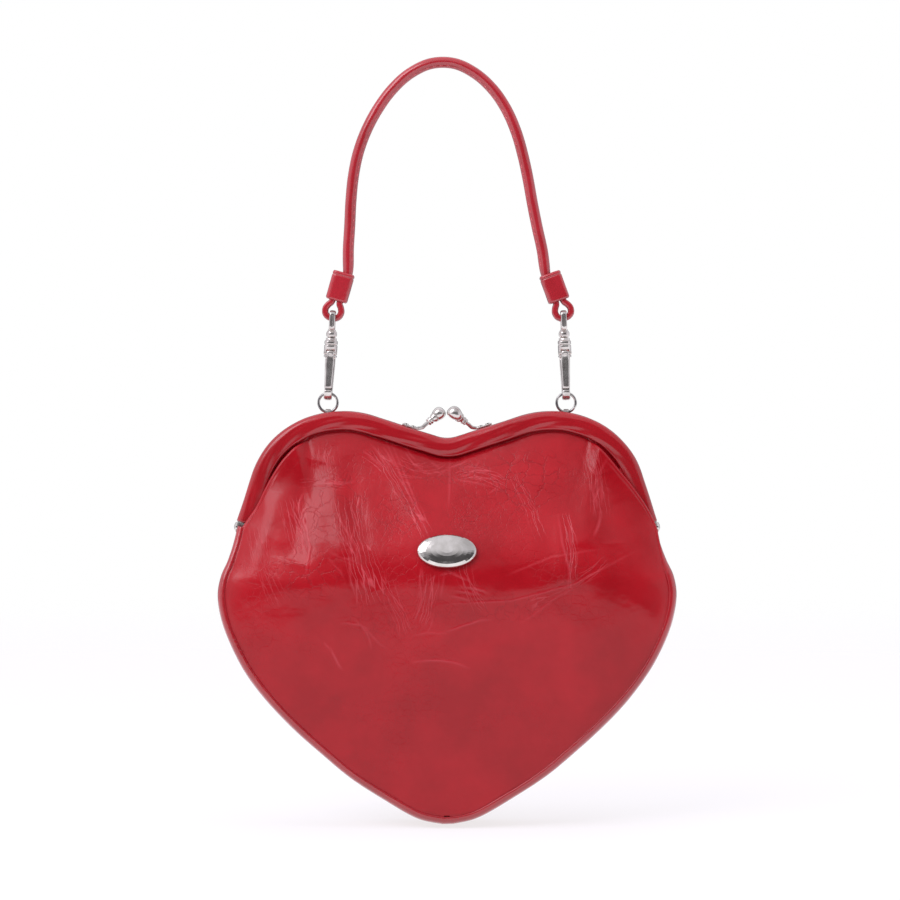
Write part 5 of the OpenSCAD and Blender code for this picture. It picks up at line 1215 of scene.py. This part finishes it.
route = tail(-1, -1) + loop_side(-1, -1) + loop_side(-1, 1)[-2::-1]
route += [in_keeper(-1, TAIL_V, -KEEPER_LEN * 0.35), in_keeper(-1, TAIL_V, KEEPER_LEN * 0.1)]
route += [arch_point(p) for p in ARCH]
route += [in_keeper(1, -TAIL_V, KEEPER_LEN * 0.1), in_keeper(1, -TAIL_V, -KEEPER_LEN * 0.35)]
route += loop_side(1, -1)[:-1] + loop_side(1, 1)[::-1] + tail(1, 1)[::-1]
ROUTE = np.array(route)
LOOP_POINTS = 2 * len(LOOP) + 4
t = np.linspace(0, 1, (len(ROUTE) - 1) * 9 + 1)
mid = through(ROUTE, t)
head = unit(through(ROUTE, np.minimum(t + 0.004, 1)) - through(ROUTE, np.maximum(t - 0.004, 0)))
# Past the loops' points the flat strap is rolled into the grip, and its inner side is pinched by the seam
k = t * (len(ROUTE) - 1)
near = np.minimum(k, len(ROUTE) - 1 - k) - LOOP_POINTS + 1
rolled = ease(near / 1.6)
run = run_along(mid)
# Same leather as the panels, drawn a little paler: painted highlight for the broad sheen along the grip
handle_leather = glazed_calf("glazed_calf_handle", "#98141f", "#a81e2b", ripple=0.7, gloss=1.85, net=0.3)
AROUND, CORE_R = 32, 1.2
# The seam's pinch: how far round it reaches in radians, how deep it is, and what share of the width it takes
PINCH_HALF, PINCH_IN, PINCH_SHARE = 0.75, 0.35, 0.30
sharp = 0.45 + 0.55 * rolled
half_t, half_w = (TAB_T + (ROLL_T - TAB_T) * rolled) / 2, (TAB_W + (ROLL_W - TAB_W) * rolled) / 2
rings = []
for a in 2 * math.pi * np.arange(AROUND) / AROUND:
    c = math.cos(a)
    pinch = np.exp(-((abs(a - math.pi) / PINCH_HALF) ** 2)) * rolled
    v = half_t * squared(c, sharp) - PINCH_IN * pinch
    w = half_w * squared(math.sin(a), sharp) * (1 - PINCH_SHARE * pinch) + 0.04 * np.sin(run / 2.7 + 3 * c)
    rings.append(np.stack([mid[:, 0] - head[:, 1] * v, -RING_Y - w, mid[:, 1] + head[:, 0] * v], 1))
strap = build("handle_strap", *closed_tube(rings), handle_leather, "handle", close=True)
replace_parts(strap, "handle_leather")
core_mid, core_head = mid[near > 0.4], head[near > 0.4]
core = twisted("handle_cord", core_mid, np.arctan2(core_head[:, 1], core_head[:, 0]), CORE_R, -RING_Y, kraft,
               "handle", pitch=8.0)
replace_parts(core, "handle_core")

# Waxed thread: a paler red with a slight twist, in running stitches along both faces of the handle's inner seam.
def waxed_thread(name):
    # The twist comes round every 0.4 mm
    mat, tree = new_material(name)
    place = add(tree, "ShaderNodeTexCoord").outputs["Object"]
    twist = add(tree, "ShaderNodeTexWave", {"bands_direction": "DIAGONAL"}, Vector=place, Scale=900.0)
    colour = add(tree, "ShaderNodeValToRGB", {"stops": [(0.2, linear("#b5303a")), (0.9, linear("#dc7a80"))]},
                 Fac=twist.outputs["Fac"])
    bump = add(tree, "ShaderNodeBump", None, Height=twist.outputs["Fac"], Distance=0.00005, Strength=0.7)
    wax = add(tree, "ShaderNodeBsdfPrincipled", None, Base_Color=colour.outputs["Color"], Roughness=0.5, IOR=1.46)
    finish_material(tree, wax, bump.outputs[0])
    return mat


thread = waxed_thread("waxed_red_thread")
STITCH_LEN, STITCH_STEP, STITCH_R, STITCH_RISE, STITCH_AROUND = 2.3, 3.4, 0.22, 0.16, 8
STITCH_IN, STITCH_OUT = 1.72, 1.42  # from the grip's middle towards the seam, and out to each face
# Sections of a stitch: share of its length, size, and how far it has come out of the leather
STITCH = [(-0.02, 0.0, -0.25), (0.08, 0.8, 0.15), (0.3, 1.0, 0.8), (0.5, 1.05, 1.0), (0.7, 1.0, 0.8),
          (0.92, 0.8, 0.15), (1.02, 0.0, -0.25)]


def on_seam(length, face):
    """The place of a stitch's end on one face of the seam, at a length of the strap, and the heading there."""
    m, h = [np.array([np.interp(length, run, way[:, k]) for k in (0, 1)]) for way in (mid, head)]
    return np.array([m[0] + h[1] * STITCH_IN, -RING_Y - face * STITCH_OUT, m[1] - h[0] * STITCH_IN]), h


on_arch = np.where(near > 1.3)[0]
stitch_pts, stitch_faces = [], []
for length in np.arange(run[on_arch[0]] + 2.2, run[on_arch[-1]] - 2.2, STITCH_STEP):
    for face in (-1, 1):
        (a, heading), b = on_seam(length, face), on_seam(length + STITCH_LEN, face)[0]
        o = np.array([heading[1] * 0.75, -face * 1.0, -heading[0] * 0.75])
        o = o / np.linalg.norm(o)
        s = np.cross((b - a) / np.linalg.norm(b - a), o)
        first = len(stitch_pts)
        for share, size, up in STITCH:
            middle = a + (b - a) * share + o * STITCH_RISE * up
            for q in range(STITCH_AROUND):
                ang = 2 * math.pi * q / STITCH_AROUND
                stitch_pts.append(middle + STITCH_R * max(size, 0.05) * (math.cos(ang) * o + math.sin(ang) * s))
        for low in range(first, len(stitch_pts) - STITCH_AROUND, STITCH_AROUND):
            high = low + STITCH_AROUND
            stitch_faces += [[low + q, low + (q + 1) % STITCH_AROUND, high + (q + 1) % STITCH_AROUND, high + q]
                             for q in range(STITCH_AROUND)]
build("handle_stitches", stitch_pts, stitch_faces, thread, "handle", close=True)

# Keepers: short bands of the leather wrapped round the doubled end, butted at the back and glued. They have a
# little more room the flat way, where the handle starts to thicken.
KEEPER_T, KEEPER_SQUARE, KEEPER_EASE, KEEPER_STEPS, KEEPER_AROUND = 1.0, 0.42, 1.6, 61, 48


def keeper_band(name, side):
    half_v = (2 * TAIL_V + TAB_T + KEEPER_ROOM + KEEPER_EASE) / 2
    half_w = (TAB_W + KEEPER_ROOM) / 2
    rings = []
    for wall, start in ((KEEPER_T, -0.5), (0.0, 0.5)):
        for share in np.linspace(start, -start, KEEPER_STEPS):
            # Rounded ends, and a pressed line near the upper end
            ended, pressed = max(0, (abs(share) - 0.43) / 0.07), math.exp(-(((share - 0.37) / 0.018) ** 2))
            edge = 1 - 0.55 * ended ** 2 - 0.3 * pressed if wall else 1
            ring_pts = []
            for q in range(KEEPER_AROUND):
                ang = 2 * math.pi * q / KEEPER_AROUND
                v = (half_v + wall * edge) * squared(math.cos(ang), KEEPER_SQUARE)
                w = (half_w + wall * edge) * squared(math.sin(ang), KEEPER_SQUARE)
                bow = 0.12 * math.sin(share * 5 + q * 0.5) + 0.10 * math.cos(share * 11 + q) if wall else 0
                uneven = 0.15 * bow if abs(share) > 0.49 else 0
                p = in_keeper(side, v * (1 + 0.02 * bow), share * KEEPER_LEN + uneven)
                ring_pts.append((p[0], -RING_Y - w * (1 + 0.02 * bow), p[1]))
            rings.append(ring_pts)
    g = np.array(rings + rings[:1])
    g = np.concatenate([g, g[:, :1]], 1)
    return build(name, g, grid_faces(*g.shape[:2]), handle_leather, "handle", close=True)


for side, name in ((-1, "left_keeper"), (1, "right_keeper")):
    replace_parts(keeper_band(name + "_band", side), name)

# ---------------------------------------------------------------- plaque
# Plain oval plaque of brass, stamped, domed and nickel plated. Its two prongs go through slits in the panel and
# are bent over a steel washer plate behind it.
coat_node("plaque", bright_nickel, 0.15)
coat_node("plaque_backing", plated_steel, 0.1)

# ---------------------------------------------------------------- studio
# A round table of matt white card, three wide soft boxes, and white air all round with a dark gap at eye height
# in front. The camera stands at the bag's height, straight before it.
scene = bpy.context.scene
TABLE_BELOW, TABLE_R, TABLE_SIDES = 0.0012, 2.0, 96
floor_z = min(corner[2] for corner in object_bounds()) - TABLE_BELOW


def white_table(name):
    # Matt white card, lit so evenly that only a faint cool shadow shows under the bag.
    mat, tree = new_material(name)
    place = add(tree, "ShaderNodeTexCoord").outputs["Object"]
    length = add(tree, "ShaderNodeVectorMath", {"operation": "LENGTH"}, i0=place)
    fade = add(tree, "ShaderNodeMapRange", {"interpolation_type": "SMOOTHSTEP"}, Value=length.outputs["Value"],
               i1=0.55, i2=1.7, i3=0.0, i4=1.0)
    paper = add(tree, "ShaderNodeBsdfDiffuse", None, Color=linear("#7c7780"))
    glow = add(tree, "ShaderNodeEmission", None, Color=linear("#ffffff"), Strength=0.77)
    card = add(tree, "ShaderNodeAddShader", None, i0=paper.outputs[0], i1=glow.outputs[0])
    clear = add(tree, "ShaderNodeBsdfTransparent")
    both = add(tree, "ShaderNodeMixShader", None, i0=fade.outputs[0], i1=card.outputs[0], i2=clear.outputs[0])
    finish_material(tree, both)
    return mat


mesh = bpy.data.meshes.new("table_top")
rim = [(TABLE_R * math.cos(2 * math.pi * k / TABLE_SIDES), TABLE_R * math.sin(2 * math.pi * k / TABLE_SIDES), 0.0)
       for k in range(TABLE_SIDES)]
mesh.from_pydata(rim, [], [list(range(TABLE_SIDES))])
mesh.materials.append(white_table("matt_white_table"))
table = bpy.data.objects.new("table_top", mesh)
table.location = (0, 0, floor_z)
scene.collection.objects.link(table)
table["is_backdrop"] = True

# Soft boxes turned to the bag's middle, with no mirror image of their own in the leather: place, size and power
BAG_MIDDLE = np.array((0.0, 0.0, -0.19))
for name, place, size, power in (("key_box", (-0.8, -1.3, 0.9), (1.0, 0.8), 14.2),
                                 ("fill_box", (1.2, -1.0, 0.4), (0.9, 1.2), 5.6),
                                 ("top_box", (0.0, -0.1, 1.2), (1.4, 1.0), 7.8)):
    light = bpy.data.lights.new(name, "AREA")
    light.shape, light.size, light.size_y, light.energy = "RECTANGLE", size[0], size[1], power
    box = bpy.data.objects.new(name, light)
    box.location = place
    aim = BAG_MIDDLE - np.array(place)
    aim = aim / np.linalg.norm(aim)
    box.rotation_euler = (math.acos(-aim[2]), 0, math.atan2(aim[0], -aim[1]) + math.pi)
    box.visible_glossy = False
    scene.collection.objects.link(box)

# The air of the studio, by direction: patches of one or two washes, each wash an axis, where it starts and ends,
# and its brightness at both. The brightest patch counts, and a dim one is left where there is none.
world = bpy.data.worlds.new("studio_air")
scene.world = world
world.use_nodes = True
tree = world.node_tree
tree.nodes.clear()
way = add(tree, "ShaderNodeTexCoord").outputs["Generated"]
part = add(tree, "ShaderNodeSeparateXYZ", None, Vector=way)
smooth_step, lit = {"interpolation_type": "SMOOTHSTEP"}, 0.09
for patch in (
        [("Z", 0.27, 0.60, 0.0, 0.80), ("X", 0.0, 0.34, 1.0, 0.72)],  # ceiling, dimmer on the right
        [("Z", -0.12, -0.26, 0.0, 0.8)],  # the table, from below
        [("X", -0.16, -0.52, 0.0, 0.50), ("Z", -0.05, 0.22, 0.0, 1.0)],  # front left
        [("X", -0.58, -0.85, 0.0, 0.92)], [("X", 0.60, 0.88, 0.0, 0.85)],  # left and right walls
        [("Y", -0.05, 0.25, 0.0, 0.85), ("Y", 0.66, 0.93, 1.0, 0.2)]):  # behind the bag
    washes = [add(tree, "ShaderNodeMapRange", smooth_step, Value=part.outputs[axis], i1=start, i2=end, i3=low,
                  i4=high).outputs[0] for axis, start, end, low, high in patch]
    if len(washes) == 2:
        washes = add(tree, "ShaderNodeMath", {"operation": "MULTIPLY"}, i0=washes[0], i1=washes[1]).outputs
    lit = add(tree, "ShaderNodeMath", {"operation": "MAXIMUM"}, i0=lit, i1=washes[0]).outputs[0]
# A bright window high on the left, which gives the leather its one clear glint
toward = add(tree, "ShaderNodeVectorMath", {"operation": "DOT_PRODUCT"}, i0=way, i1=(-0.587, -0.492, 0.643))
window = add(tree, "ShaderNodeMapRange", smooth_step, Value=toward.outputs["Value"], i1=0.91, i2=0.975, i3=0.0,
             i4=2.6)
lit = add(tree, "ShaderNodeMath", {"operation": "ADD"}, i0=lit, i1=window.outputs[0]).outputs[0]
room = add(tree, "ShaderNodeBackground", None, Color=(0.98, 0.95, 1.02, 1), Strength=lit)
open_white = add(tree, "ShaderNodeBackground", None, Color=linear("#ffffff"), Strength=1.0)
seen = add(tree, "ShaderNodeLightPath")
both = add(tree, "ShaderNodeMixShader", None, i0=seen.outputs["Is Camera Ray"], i1=room.outputs[0],
           i2=open_white.outputs[0])
out = add(tree, "ShaderNodeOutputWorld")
tree.links.new(both.outputs[0], out.inputs[0])
scene.view_settings.view_transform = "Standard"

# The camera looks down a little, from 1.5 m
camera = bpy.data.cameras.new("front_camera")
camera.lens, camera.sensor_width, camera.clip_end = 134.8, 36, 20
eye = bpy.data.objects.new("front_camera", camera)
AWAY, LOOK_X, LOOK_Z, tilt = 1.5, 0.0013, -0.1704, math.radians(1.0)
eye.location = (LOOK_X, -AWAY * math.cos(tilt), LOOK_Z + AWAY * math.sin(tilt))
eye.rotation_euler = (math.radians(90) - tilt, 0, 0)
scene.collection.objects.link(eye)
scene.camera = eye
